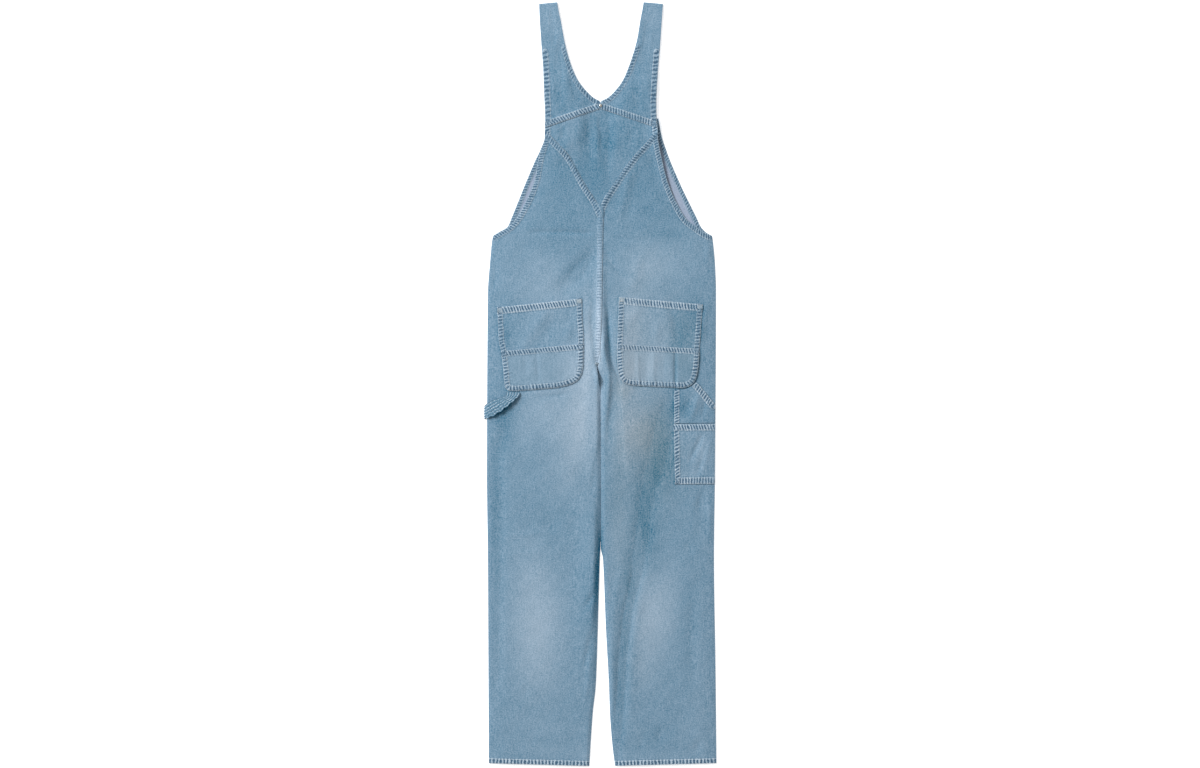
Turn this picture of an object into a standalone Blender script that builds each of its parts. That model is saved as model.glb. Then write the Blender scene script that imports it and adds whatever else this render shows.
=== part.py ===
"""Denim bib overalls laid out flat, face down, with the back up.

The origin is on the floor under the middle of the garment. +Y runs up the body to the
shoulders, +X to the wearer's right side and +Z up off the floor. The tables hold real
sizes in millimetres, and every mesh is made in metres.
"""

import math

import bmesh
import bpy
import numpy as np
from mathutils import Vector

MM = 0.001

# Cloth
CLOTH = 1.2 * MM            # one layer of denim with its turned edges pressed flat
STRAP_CLOTH = 1.6 * MM      # strap and yoke, two layers
GAP = 0.3 * MM              # clearance kept at seams and between layers
OVERLAY_GAP = 0.45 * MM     # clearance under a piece that lies on a curved panel
BAND_RISE = 0.6 * MM        # extra height where a hem is turned under

# Places along the body
WAIST = 297 * MM
CROTCH = 38 * MM
HEM = -764 * MM
HEM_RISE = 6 * MM           # the outer corner of each hem is this much higher
HEM_SLANT_END = -660 * MM
HEM_BAND = 10 * MM
BIB_TOP = 531 * MM
NECK_POINT = 562 * MM       # lowest point of the V neck
CHEVRON_END = 524 * MM      # where the yoke seam meets the armhole
SIDE_SEAM_TOP = 494 * MM    # where the insert's lower seams meet the armhole
INSERT_FOOT = 336 * MM      # where the two lower seams meet

# How the back lies
LIFT = 2.2 * MM             # how far the back stands off the front between its rims
YOKE_LIFT = 0.8 * MM
LIFT_FADE = (430 * MM, 540 * MM)
ROUNDING = 45 * MM          # width over which a rim curves down
INNER_RIM_FADE = (-60 * MM, 38 * MM)

# Fasteners at the bib's top corners
BUTTON_ACROSS = 88 * MM
BUTTON_UP = 508 * MM
BUTTON_RADIUS = 8.5 * MM
BUTTON_HEAD = 1.4 * MM
SHANK_RADIUS = 2.2 * MM
WIRE = 2.0 * MM             # thickness of the buckle's wire
BUCKLE_HALF = 21 * MM
BUCKLE_BAR_UP = 548 * MM
BUCKLE_SHOULDER_UP = 530 * MM
KEYHOLE_RADIUS = 6.5 * MM
WIRE_LEVEL = STRAP_CLOTH + GAP + WIRE / 2
BIB_ON_BUCKLE = STRAP_CLOTH + GAP + WIRE + GAP
STACK_UP = 535 * MM         # middle of the swelling over each fastener
STACK_REACH = (75 * MM, 110 * MM)
STACK_FLAT = 0.55           # share of the swelling that is level
BIB_STACK = 0.8             # the bib's own swelling is this much narrower

# Front run of each strap
STRAP_HALF = 18 * MM
STRAP_TOP_ACROSS = 104 * MM
STRAP_RETURN_UP = 585 * MM
FOLD_RISE = 1.4 * MM        # how much the shoulder fold stands up

RIVET_PLACE = (0.6 * MM, 555 * MM)
RIVET_RADIUS = 3.0 * MM
RIVET_HEIGHT = 1.0 * MM


def columns(names, rows):
    """Turn rows of millimetres into named columns of metres, lowest first column first."""
    ordered = sorted(rows)
    return {name: [row[k] * MM for row in ordered] for k, name in enumerate(names.split())}


OUTSEAM = columns("height left right", (
    (297, -215, 223),
    (284, -217, 225),
    (240, -221, 229),
    (184, -225, 231),
    (-180, -227, 229),
    (-348, -225, 227),
    (-560, -224, 230),
    (-764, -223, 232),
))

# The centre back seam, and below the crotch the inner edge of each leg
INNER = columns("height left right", (
    (336, -0.8, -0.8),
    (308, -2, -2),
    (216, -3.6, -3.6),
    (124, -5, -5),
    (70, -8, -8),
    (38, -6.8, -6.8),
    (-10, -0.4, 1.0),
    (-322, 0.2, 2.0),
    (-348, -1, 5),
    (-488, -5, 11),
    (-600, -9, 17),
    (-656, -15, 19),
    (-712, -19, 23),
    (-764, -22, 29),
))

# Armhole edge of the back, and the edge of the bib that shows beside it
ARMHOLE = columns("height left_back left_bib right_back right_bib", (
    (531, -110.8, -110.8, 114, 116),
    (494, -110.8, -111.6, 114.6, 123),
    (469, -118.8, -120, 118.6, 131.4),
    (445, -125.2, -131.4, 124, 140.2),
    (416, -130, -143.8, 131, 152.6),
    (390, -137.8, -154.6, 140, 164.2),
    (356, -153.8, -168.2, 156.2, 180.8),
    (330, -169.8, -178.8, 172.4, 193.6),
    (316, -183, -185, 190, 200),
    (304, -203, -199, 207, 211),
    (297, -215, -215, 223, 223),
))

# Seams between the insert and the two back legs
SIDE_SEAM = columns("height left right", (
    (494, -105, 108),
    (474, -86, 91),
    (454, -67, 72),
    (428, -52, 52),
    (402, -38, 34),
    (384, -27, 22),
    (366, -15, 11),
    (350, -7, 4),
    (336, -0.8, -0.8),
))

# Yoke and strap: outer edge and neck edge, from the yoke seam up to the shoulder fold
STRAP = columns("outer_up left_outer right_outer inner_up left_inner right_inner", (
    (524.4, -110.8, 113, 563.4, -2, 3),
    (548, -111, 112, 573, -14, 15),
    (566, -112, 112, 585, -27, 28),
    (590, -113, 113, 608, -45, 45),
    (628, -114.5, 115.5, 646, -61, 60.5),
    (672, -117.5, 119, 690, -72.5, 73.5),
    (716, -120.5, 122, 726, -79, 79.5),
    (744, -122, 124, 747, -83.5, 83.5),
    (758, -122.5, 125, 761, -86, 86),
))

# Largest folds: place across and rise of each at heights along it, ridges up, troughs down
FOLDS = {
    "seat_roll": columns("height across rise", (
        (290, -2, 0), (240, -3, 0.5), (170, -4, 1.6), (110, -5, 2.2), (60, -8, 1.8), (14, -3, 0))),
    "long_fold": columns("height across rise", (
        (-10, 146, 0), (-104, 125, -1.2), (-180, 104, -1.4), (-292, 85, -1.2), (-352, 73, -1.5),
        (-440, 51, -1.6), (-544, 41, -1.6), (-672, 35, -1.4), (-764, 31, -0.8))),
    "side_trough": columns("height across rise", (
        (-90, -193, 0), (-160, -203, -0.8), (-280, -201, -1.1), (-600, -206, -0.8), (-650, -205, 0))),
    "thigh_ridge_left": columns("height across rise", (
        (10, -17, 0.3), (-72, -27, 1.0), (-132, -37, 1.2), (-184, -41, 0.8), (-280, -44, 0))),
    "thigh_ridge_right": columns("height across rise", (
        (-20, 43, 0), (-70, 47, 0.8), (-140, 53, 0.8), (-220, 55, 0))),
    "insert_trough_left": columns("height across rise", (
        (556, -24, 0), (530, -24, -0.8), (470, -21, -0.8), (420, -20, 0))),
    "insert_trough_right": columns("height across rise", (
        (556, 14, 0), (530, 14, -0.8), (460, 16, -0.8), (410, 16, 0))),
    "yoke_trough_left": columns("height across rise", (
        (690, -80, 0), (660, -81, -0.5), (590, -83, -0.5), (560, -84, 0))),
    "yoke_trough_right": columns("height across rise", (
        (700, 93, 0), (660, 88, -0.5), (600, 73, -0.5), (556, 75, 0))),
}
FOLD_HALF_WIDTHS = {"seat_roll": 22 * MM, "long_fold": 18 * MM, "side_trough": 16 * MM,
                    "thigh_ridge_left": 20 * MM, "thigh_ridge_right": 18 * MM}
NARROW_FOLD = 10 * MM

# Back pockets: both ends of each line across them, from the mouth down to the bottom edge
POCKETS = {
    "left": (
        (-207, 154, -37, 172), (-206.5, 142, -36.5, 160), (-206, 139, -36, 157),
        (-205, 112, -35, 128), (-203, 82, -33, 98), (-199, 66, -33, 81),
        (-197, 50, -33, 64), (-194, 22, -33.5, 40), (-192.5, 2, -37, 20),
        (-190, -8, -46, 6), (-184, -13, -62, -2), (-170, -14.5, -88, -8),
    ),
    "right": (
        (37, 175, 205, 160), (36.4, 163, 204.4, 148), (36, 160, 204, 145),
        (35, 130, 202, 118), (33.5, 98, 200, 88), (33, 80, 198.6, 71),
        (33, 62, 198, 56), (34, 34, 196, 34), (37, 16, 193.5, 18),
        (46, 3, 189, 6), (60, -2.5, 181, -3), (84, -4.5, 166, -8.2),
    ),
}
MOUTH_BAND_ROWS = 2         # lines that the turned mouth covers
PATCH_START = 5             # line where the lower half's second layer starts
POCKET_CELLS = 8

# Tool pocket on the right leg: columns from its left edge to the outseam
TOOL_UPPER = (
    (147, -12, -78.8), (160, -11.4, -78.6), (172, -9, -78.4), (183, -3, -78.2), (193, 3.4, -78),
    (205, -10.5, -77.8), (218, -26.5, -77.6), (229.4, -40.6, -77.4),
)
TOOL_LOWER_TOP = -79.6 * MM
TOOL_LOWER_BOTTOM = -200 * MM
TOOL_LOWER_LEFT = (146 * MM, 148.6 * MM)
TOOL_BAND = 12 * MM
TOOL_EDGE_INSET = 0.4 * MM

# Hammer loop: its upper and lower edge, and how high each stands over the leg
LOOP = (
    (-188.8, -15.6, 0.4, -160.8, -17.0, 0.4),
    (-188.8, -20.0, 0.8, -161.0, -21.0, 1.8),
    (-190.0, -24.5, 1.6, -166.0, -28.0, 5.2),
    (-198.0, -27.0, 2.8, -174.0, -36.0, 8.0),
    (-208.0, -29.5, 3.8, -186.0, -45.0, 9.0),
    (-219.0, -34.0, 4.0, -199.0, -54.0, 9.0),
    (-227.0, -39.0, 3.2, -214.0, -63.0, 7.4),
    (-231.0, -42.0, 1.2, -226.0, -68.0, 4.0),
    (-231.4, -43.5, -0.8, -231.4, -69.5, 0.6),
    (-230.8, -44.0, -2.0, -230.8, -70.0, -1.6),
    (-228.0, -44.0, -2.2, -228.0, -70.0, -2.2),
)

DENIM = (0.19, 0.32, 0.44)
PALE_DENIM = (0.24, 0.36, 0.47)
INSIDE_DENIM = (0.24, 0.34, 0.45)
NICKEL = (0.62, 0.61, 0.58)


def smoothstep(low, high, value):
    """0 below low, 1 above high and a soft change between them."""
    share = min(max((value - low) / (high - low), 0.0), 1.0)
    return share * share * (3 - 2 * share)


def linear_at(table, column, height):
    """Read a column of a table at a height."""
    return float(np.interp(height, table["height"], table[column]))


def outer_edge(side, height):
    """Across place of the back's outer edge: armhole above the waist, outseam below it."""
    if height > WAIST:
        return linear_at(ARMHOLE, side + "_back", height)
    return linear_at(OUTSEAM, side, height)


def inner_edge(side, height):
    """Across place of the back leg's inner edge: insert seam, centre seam or inseam."""
    if height > INSERT_FOOT:
        return linear_at(SIDE_SEAM, side, height)
    return linear_at(INNER, side, height)


def swelling(x, y, share=1.0):
    """1 over a strap's button and buckle, down to 0 around them; share narrows its reach."""
    along = (abs(x) - BUTTON_ACROSS) / (STACK_REACH[0] * share)
    up = (y - STACK_UP) / (STACK_REACH[1] * share)
    return 1 - smoothstep(STACK_FLAT, 1.0, math.hypot(along, up))


def rim_rise(x, y):
    """0 at the rims of the back, 1 well inside them."""
    side = "left" if x < linear_at(INNER, "left", y) else "right"
    outside = abs(x - outer_edge(side, y))
    rise = math.sin(math.pi / 2 * min(outside / ROUNDING, 1.0))
    if x < linear_at(INNER, "left", y) and x < linear_at(ARMHOLE, "left_back", y) and y > WAIST:
        rise = 0.0
    inside = abs(x - linear_at(INNER, side, y))
    inner_rise = math.sin(math.pi / 2 * min(inside / ROUNDING, 1.0))
    share = 1 - smoothstep(*INNER_RIM_FADE, y)
    return rise * (1 - share * (1 - inner_rise))


def fold_height(x, y):
    """Sum of the large folds at a point."""
    total = 0.0
    for name, table in FOLDS.items():
        rise = linear_at(table, "rise", y)
        if rise:
            offset = (x - linear_at(table, "across", y)) / FOLD_HALF_WIDTHS.get(name, NARROW_FOLD)
            total += rise * math.exp(-offset * offset)
    return total


def back_under(x, y):
    """Height of the inner face of the back above the floor."""
    under_strap = smoothstep(480 * MM, BIB_TOP, y)
    resting = CLOTH + GAP + under_strap * (STRAP_CLOTH - CLOTH) + swelling(x, y) * BIB_ON_BUCKLE
    lift = LIFT + (YOKE_LIFT - LIFT) * smoothstep(*LIFT_FADE, y)
    return resting + max(lift * rim_rise(x, y) + fold_height(x, y), 0.0)


def back_top(x, y):
    """Height of the outer face of the back above the floor."""
    return back_under(x, y) + CLOTH


def principled(name, colour, roughness, metallic=0.0):
    """Material with one Principled shader."""
    material = bpy.data.materials.new(name)
    material.use_nodes = True
    shader = material.node_tree.nodes["Principled BSDF"]
    shader.inputs["Base Color"].default_value = (*colour, 1.0)
    shader.inputs["Roughness"].default_value = roughness
    shader.inputs["Metallic"].default_value = metallic
    material.diffuse_color = (*colour, 1.0)
    return material


def add_object(name, bm, material, place=(0.0, 0.0, 0.0)):
    """Put a finished bmesh in the scene as one smooth-shaded object."""
    bmesh.ops.recalc_face_normals(bm, faces=bm.faces)
    mesh = bpy.data.meshes.new(name)
    bm.to_mesh(mesh)
    bm.free()
    mesh.shade_smooth()
    mesh.set_sharp_from_angle(angle=math.radians(40))
    mesh.materials.append(material)
    piece = bpy.data.objects.new(name, mesh)
    piece.location = place
    bpy.context.scene.collection.objects.link(piece)
    return piece


def close_grids(name, under, over, material):
    """Join two matching grids of points, inner face and outer face, into one closed body."""
    bm = bmesh.new()
    low = [[bm.verts.new(point) for point in row] for row in under]
    high = [[bm.verts.new(point) for point in row] for row in over]
    last_row = len(low) - 1
    last_column = len(low[0]) - 1
    for i in range(last_row):
        for j in range(last_column):
            bm.faces.new((high[i][j], high[i][j + 1], high[i + 1][j + 1], high[i + 1][j]))
            bm.faces.new((low[i][j], low[i + 1][j], low[i + 1][j + 1], low[i][j + 1]))
    for i in range(last_row):
        for j in (0, last_column):
            bm.faces.new((low[i][j], high[i][j], high[i + 1][j], low[i + 1][j]))
    for j in range(last_column):
        for i in (0, last_row):
            bm.faces.new((low[i][j], low[i][j + 1], high[i][j + 1], high[i][j]))
    return add_object(name, bm, material)


def panel(name, plan, height_of, material, thickness=CLOTH, raised=None):
    """Cloth panel over a grid of places: height_of gives its inner face at each place."""
    under = [[Vector((x, y, height_of(x, y))) for x, y in row] for row in plan]
    over = []
    for i, row in enumerate(under):
        extra = raised(i) if raised else 0.0
        over.append([point + Vector((0, 0, thickness + extra)) for point in row])
    return close_grids(name, under, over, material)


def ribbon(name, middle, thickness, material):
    """Cloth strip of even thickness about a grid of points on its middle face."""
    under = []
    over = []
    rows = len(middle)
    count = len(middle[0])
    for i in range(rows):
        low_row = []
        high_row = []
        for j in range(count):
            along = middle[min(i + 1, rows - 1)][j] - middle[max(i - 1, 0)][j]
            across = middle[i][min(j + 1, count - 1)] - middle[i][max(j - 1, 0)]
            normal = across.cross(along).normalized()
            low_row.append(middle[i][j] - normal * thickness / 2)
            high_row.append(middle[i][j] + normal * thickness / 2)
        under.append(low_row)
        over.append(high_row)
    return close_grids(name, under, over, material)


def between(start, end, cells):
    """Values from start to end in equal steps."""
    return [start + (end - start) * k / cells for k in range(cells + 1)]


def leg_heights():
    """Heights of a leg panel's rows, waist to hem, closer together at the crotch and hem."""
    seat = between(WAIST, 70 * MM, 8)
    fork = [54 * MM, CROTCH, 14 * MM, -10 * MM]
    leg = between(-42 * MM, -738 * MM, 23)
    hem = [HEM + HEM_BAND + 2 * MM, HEM + HEM_BAND, HEM]
    return seat + fork + leg + hem


def slanted(x, y):
    """Follow the slant of the hem near the bottom of a leg."""
    share = 1 - smoothstep(HEM, HEM_SLANT_END, y)
    return (x, y + HEM_RISE * share * abs(x) / abs(OUTSEAM["left"][0]))


def leg_plan(side, heights, cells):
    """Grid of places on a leg panel from its outer to its inner edge."""
    sign = 1 if side == "left" else -1
    plan = []
    for y in heights:
        outer = outer_edge(side, y)
        inner = inner_edge(side, y) - sign * GAP / 2
        plan.append([slanted(x, y) for x in between(outer, inner, cells)])
    return plan


def make_back_leg(side, material):
    """Back leg with the wing that rises beside the insert."""
    wing = [h - GAP for h in reversed(SIDE_SEAM["height"])]
    heights = wing + [316 * MM] + leg_heights()
    hem_start = len(heights) - 2

    def raised(row):
        return BAND_RISE if row >= hem_start else 0.0

    plan = leg_plan(side, heights, 11)
    return panel("back_leg_" + side, plan, back_under, material, raised=raised)


def make_front_leg(side, material):
    """Front leg, flat on the floor."""
    heights = leg_heights()
    heights[0] -= GAP / 2
    return panel("front_leg_" + side, leg_plan(side, heights, 3), lambda x, y: 0.0, material)


def make_insert(material):
    """Kite-shaped insert between the yoke seam and the two lower seams."""
    seam = SIDE_SEAM
    feet = [(ARMHOLE["left_back"][-1], (SIDE_SEAM_TOP + 3 * MM))]
    feet += [(x, y) for y, x in zip(reversed(seam["height"]), reversed(seam["left"]))]
    feet += [(x, y) for y, x in zip(seam["height"][1:], seam["right"][1:])]
    feet.append((ARMHOLE["right_back"][-2], SIDE_SEAM_TOP + 3 * MM))
    slope = (NECK_POINT - CHEVRON_END) / abs(STRAP["left_outer"][0])
    plan = []
    for x, foot in feet:
        head = NECK_POINT - slope * abs(x) - GAP
        plan.append([(x, y) for y in between(foot + GAP / 2, head, 9)])
    return panel("back_insert", plan, back_under, material)


def strap_back_rows(side):
    """Middle face of the yoke and the back run, from the yoke seam up to the shoulder."""
    rows = []
    for k in range(len(STRAP["outer_up"])):
        outer = Vector((STRAP[side + "_outer"][k], STRAP["outer_up"][k]))
        inner = Vector((STRAP[side + "_inner"][k], STRAP["inner_up"][k]))
        row = []
        for share in between(0.0, 1.0, 6):
            place = outer.lerp(inner, share)
            rise = FOLD_RISE * smoothstep(BIB_TOP, STRAP["outer_up"][-1], place.y)
            level = back_under(place.x, place.y) + STRAP_CLOTH / 2 + rise
            row.append(Vector((place.x, place.y, level)))
        rows.append(row)
    return rows


def strap_fold_rows(top_row):
    """Half circle at the shoulder that carries the strap over to its front run."""
    rows = []
    for angle in (45, 90, 135):
        row = []
        for point in top_row:
            radius = (point.z - STRAP_CLOTH / 2) / 2
            turn = math.radians(angle)
            middle = point.z - radius
            row.append(Vector((point.x, point.y + radius * math.sin(turn),
                               middle + radius * math.cos(turn))))
        rows.append(row)
    return rows


def strap_front_rows(side, top_row):
    """Front run down to the buckle, round its bar and a short way back up."""
    sign = -1 if side == "left" else 1
    level = STRAP_CLOTH / 2
    rows = [[Vector((p.x, p.y, level)) for p in top_row]]
    turn_radius = WIRE_LEVEL - level
    stations = [(y, level) for y in (720 * MM, 670 * MM, 620 * MM, 575 * MM, BUCKLE_BAR_UP)]
    for angle in (45, 90, 135, 180):
        turn = math.radians(angle)
        stations.append((BUCKLE_BAR_UP - turn_radius * math.sin(turn),
                         WIRE_LEVEL - turn_radius * math.cos(turn)))
    stations.append((STRAP_RETURN_UP, WIRE_LEVEL + turn_radius))
    top_y = top_row[0].y
    for y, z in stations:
        share = (top_y - y) / (top_y - BUCKLE_BAR_UP)
        middle = sign * (STRAP_TOP_ACROSS + (BUTTON_ACROSS - STRAP_TOP_ACROSS) * share)
        row = []
        for part in between(1.0, -1.0, len(top_row) - 1):
            row.append(Vector((middle + sign * part * STRAP_HALF, y, z)))
        rows.append(row)
    return rows


def make_strap(side, material):
    """Yoke and strap in one piece, folded over the shoulder and down the front."""
    back = strap_back_rows(side)
    fold = strap_fold_rows(back[-1])
    front = strap_front_rows(side, back[-1])
    return ribbon("strap_" + side, back + fold + front, STRAP_CLOTH, material)


def bib_under(x, y):
    """Height of the bib's outer face, raised where it lies on the buckles."""
    return BIB_ON_BUCKLE * swelling(x, y, BIB_STACK)


def make_bib(material):
    """Front bib from the waist to its straight top edge."""
    heights = [WAIST + GAP / 2] + [h for h in ARMHOLE["height"][1:-1]]
    heights += [502 * MM, 517 * MM, BIB_TOP]
    heights = sorted(set(heights))
    plan = []
    for y in heights:
        left = linear_at(ARMHOLE, "left_bib", y)
        right = linear_at(ARMHOLE, "right_bib", y)
        plan.append([(x, y) for x in between(left, right, 12)])
    return panel("bib", plan, bib_under, material)


def pocket_plan(side, first=0):
    """Grid of places on a back pocket, from its line number first to its bottom edge."""
    plan = []
    for x0, y0, x1, y1 in POCKETS[side][first:]:
        start = Vector((x0, y0)) * MM
        end = Vector((x1, y1)) * MM
        plan.append([tuple(start.lerp(end, share)) for share in between(0.0, 1.0, POCKET_CELLS)])
    return plan


def on_back(x, y):
    """Height of the inner face of a piece sewn on the back."""
    return back_top(x, y) + OVERLAY_GAP


def on_pocket(x, y):
    """Height of the inner face of the layer sewn on a pocket."""
    return on_back(x, y) + CLOTH + GAP


def make_back_pocket(side, material):
    """Patch pocket with a turned mouth."""
    def raised(row):
        return BAND_RISE if row < MOUTH_BAND_ROWS else 0.0

    return panel("back_pocket_" + side, pocket_plan(side), on_back, material, raised=raised)


def make_pocket_patch(side, material):
    """Second layer over the lower half of a back pocket."""
    return panel("pocket_patch_" + side, pocket_plan(side, PATCH_START), on_pocket, material)


def make_tool_upper(material):
    """Upper tool pocket with its slanted mouth."""
    plan = []
    for x, top, bottom in TOOL_UPPER:
        drop = TOOL_BAND / MM
        levels = [top, top - drop, top - drop - 2]
        levels += between(top - drop - 2, bottom, 3)[1:]
        plan.append([(x * MM, y * MM) for y in levels])
    under = [[Vector((x, y, on_back(x, y))) for x, y in column] for column in plan]
    over = []
    for column in under:
        over.append([point + Vector((0, 0, CLOTH + (BAND_RISE if k < 2 else 0.0)))
                     for k, point in enumerate(column)])
    return close_grids("tool_pocket_upper", under, over, material)


def make_tool_lower(material):
    """Lower tool pocket, open at its straight top edge."""
    heights = [TOOL_LOWER_TOP, TOOL_LOWER_TOP - TOOL_BAND, TOOL_LOWER_TOP - TOOL_BAND - 2 * MM]
    heights += between(heights[-1], TOOL_LOWER_BOTTOM, 4)[1:]
    plan = []
    for y in heights:
        share = (TOOL_LOWER_TOP - y) / (TOOL_LOWER_TOP - TOOL_LOWER_BOTTOM)
        left = TOOL_LOWER_LEFT[0] + (TOOL_LOWER_LEFT[1] - TOOL_LOWER_LEFT[0]) * share
        right = outer_edge("right", y) - TOOL_EDGE_INSET
        plan.append([(x, y) for x in between(left, right, 7)])

    def raised(row):
        return BAND_RISE if row < MOUTH_BAND_ROWS else 0.0

    return panel("tool_pocket_lower", plan, on_back, material, raised=raised)


def make_hammer_loop(material):
    """Strip from under the left pocket across to the outseam, its lower edge raised."""
    rows = []
    for upper_x, upper_y, upper_rise, lower_x, lower_y, lower_rise in LOOP:
        upper = Vector((upper_x * MM, upper_y * MM, 0.0))
        lower = Vector((lower_x * MM, lower_y * MM, 0.0))
        upper.z = back_top(upper.x, upper.y) + upper_rise * MM + CLOTH / 2
        lower.z = back_top(lower.x, lower.y) + lower_rise * MM + CLOTH / 2
        rows.append([upper.lerp(lower, share) for share in between(0.0, 1.0, 3)])
    return ribbon("hammer_loop", rows, CLOTH, material)


def buckle_outline():
    """Middle line of the buckle's wire: bar, shoulders and the keyhole round the button."""
    points = [(-BUCKLE_HALF, BUCKLE_BAR_UP), (BUCKLE_HALF, BUCKLE_BAR_UP)]
    points += [(BUCKLE_HALF, BUCKLE_SHOULDER_UP), (BUCKLE_HALF - 4 * MM, BUCKLE_SHOULDER_UP - 4 * MM)]
    neck = math.radians(50)
    steps = 10
    loop = []
    for k in range(steps + 1):
        turn = neck + (2 * math.pi - 2 * neck) * k / steps
        loop.append((KEYHOLE_RADIUS * math.sin(turn), BUTTON_UP + KEYHOLE_RADIUS * math.cos(turn)))
    points += loop
    points += [(4 * MM - BUCKLE_HALF, BUCKLE_SHOULDER_UP - 4 * MM), (-BUCKLE_HALF, BUCKLE_SHOULDER_UP)]
    return points


def make_buckle(side, material):
    """Wire buckle: a closed tube swept round its outline."""
    sign = -1 if side == "left" else 1
    outline = [Vector((x, y, 0.0)) for x, y in buckle_outline()]
    count = len(outline)
    bm = bmesh.new()
    rings = []
    for k, point in enumerate(outline):
        ahead = (outline[(k + 1) % count] - point).normalized()
        behind = (point - outline[k - 1]).normalized()
        along = (ahead + behind).normalized()
        spread = along.cross(Vector((0, 0, 1))) / max(along.dot(ahead), 0.6)
        ring = []
        for step in range(8):
            turn = math.radians(45 * step + 22.5)
            offset = spread * math.cos(turn) + Vector((0, 0, 1)) * math.sin(turn)
            ring.append(bm.verts.new(point + offset * WIRE / 2))
        rings.append(ring)
    for k in range(count):
        ring = rings[k]
        following = rings[(k + 1) % count]
        for step in range(8):
            after = (step + 1) % 8
            bm.faces.new((ring[step], ring[after], following[after], following[step]))
    return add_object("buckle_" + side, bm, material, (sign * BUTTON_ACROSS, 0.0, WIRE_LEVEL))


def turned(name, profile, material, place, segments=16):
    """Body of revolution about an upright axis from a profile of radius and height."""
    bm = bmesh.new()
    rings = []
    for radius, height in profile:
        if radius == 0:
            rings.append([bm.verts.new((0.0, 0.0, height))])
            continue
        ring = []
        for step in range(segments):
            turn = 2 * math.pi * step / segments
            ring.append(bm.verts.new((radius * math.cos(turn), radius * math.sin(turn), height)))
        rings.append(ring)
    for lower, upper in zip(rings, rings[1:]):
        for step in range(segments):
            after = (step + 1) % segments
            corners = [lower[step % len(lower)], lower[after % len(lower)],
                       upper[after % len(upper)], upper[step % len(upper)]]
            bm.faces.new(list(dict.fromkeys(corners)))
    return add_object(name, bm, material, place)


def make_button(side, material):
    """Round-headed button whose shank passes through the buckle's keyhole."""
    sign = -1 if side == "left" else 1
    shank_top = BIB_ON_BUCKLE - GAP
    profile = ((0.0, 0.0), (BUTTON_RADIUS - 1 * MM, 0.0), (BUTTON_RADIUS, 0.5 * MM),
               (BUTTON_RADIUS, BUTTON_HEAD - 0.3 * MM), (BUTTON_RADIUS - 0.5 * MM, BUTTON_HEAD),
               (SHANK_RADIUS, BUTTON_HEAD), (SHANK_RADIUS, shank_top), (0.0, shank_top))
    return turned("button_" + side, profile, material, (sign * BUTTON_ACROSS, BUTTON_UP, 0.0))


def make_rivet(material):
    """Small domed rivet at the point of the neck."""
    x, y = RIVET_PLACE
    profile = ((0.0, 0.0), (RIVET_RADIUS, 0.0), (RIVET_RADIUS, 0.3 * RIVET_HEIGHT),
               (0.6 * RIVET_RADIUS, 0.85 * RIVET_HEIGHT), (0.0, RIVET_HEIGHT))
    level = back_top(x, y) + OVERLAY_GAP
    return turned("neck_rivet", profile, material, (x, y, level), segments=12)


def clear_scene():
    """Remove whatever the open file holds."""
    for item in list(bpy.data.objects):
        bpy.data.objects.remove(item, do_unlink=True)


def main():
    """Build every piece of the overalls under one empty."""
    clear_scene()
    denim = principled("denim", DENIM, 0.85)
    pale = principled("pale_denim", PALE_DENIM, 0.85)
    inside = principled("inside_denim", INSIDE_DENIM, 0.88)
    nickel = principled("nickel", NICKEL, 0.32, 1.0)
    pieces = [make_bib(inside), make_insert(denim)]
    for side in ("left", "right"):
        pieces.append(make_front_leg(side, denim))
        pieces.append(make_back_leg(side, denim))
        pieces.append(make_strap(side, denim))
        pieces.append(make_back_pocket(side, denim))
        pieces.append(make_pocket_patch(side, pale))
        pieces.append(make_buckle(side, nickel))
        pieces.append(make_button(side, nickel))
    pieces.append(make_tool_upper(denim))
    pieces.append(make_tool_lower(denim))
    pieces.append(make_hammer_loop(denim))
    pieces.append(make_rivet(nickel))
    garment = bpy.data.objects.new("overalls", None)
    bpy.context.scene.collection.objects.link(garment)
    for piece in pieces:
        piece.parent = garment


main()
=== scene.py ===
"""Looks of the denim bib overalls, laid out flat, face down, with the back up.

Sizes in the tables and in the dataclass fields are in millimetres, angles in degrees.
+Y runs up the body to the shoulders, +X to the wearer's right side and +Z up off the
floor. Meshes are made in metres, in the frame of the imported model.
"""

import logging
import math
from collections.abc import Callable, Sequence
from dataclasses import dataclass, field
from enum import Enum

import bpy
import numpy as np
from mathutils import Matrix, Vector


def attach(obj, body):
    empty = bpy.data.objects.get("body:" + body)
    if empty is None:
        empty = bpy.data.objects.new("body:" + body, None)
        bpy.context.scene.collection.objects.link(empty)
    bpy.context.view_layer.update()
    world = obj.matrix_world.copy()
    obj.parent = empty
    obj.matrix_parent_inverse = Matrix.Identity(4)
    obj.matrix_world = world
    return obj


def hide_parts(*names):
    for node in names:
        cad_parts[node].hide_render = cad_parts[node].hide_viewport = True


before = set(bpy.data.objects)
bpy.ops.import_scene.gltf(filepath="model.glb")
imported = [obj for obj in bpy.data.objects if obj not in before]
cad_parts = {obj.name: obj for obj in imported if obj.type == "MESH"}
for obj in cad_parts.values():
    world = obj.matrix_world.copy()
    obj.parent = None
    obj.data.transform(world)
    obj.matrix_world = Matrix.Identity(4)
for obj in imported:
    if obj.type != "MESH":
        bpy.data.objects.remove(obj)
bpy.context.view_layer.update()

Array = np.ndarray
Point = tuple[float, float]
Marks = dict[str, Array]
Level = Callable[[Array, Array], Array]
Material = bpy.types.Material
Piece = bpy.types.Object
Socket = bpy.types.NodeSocket

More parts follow.
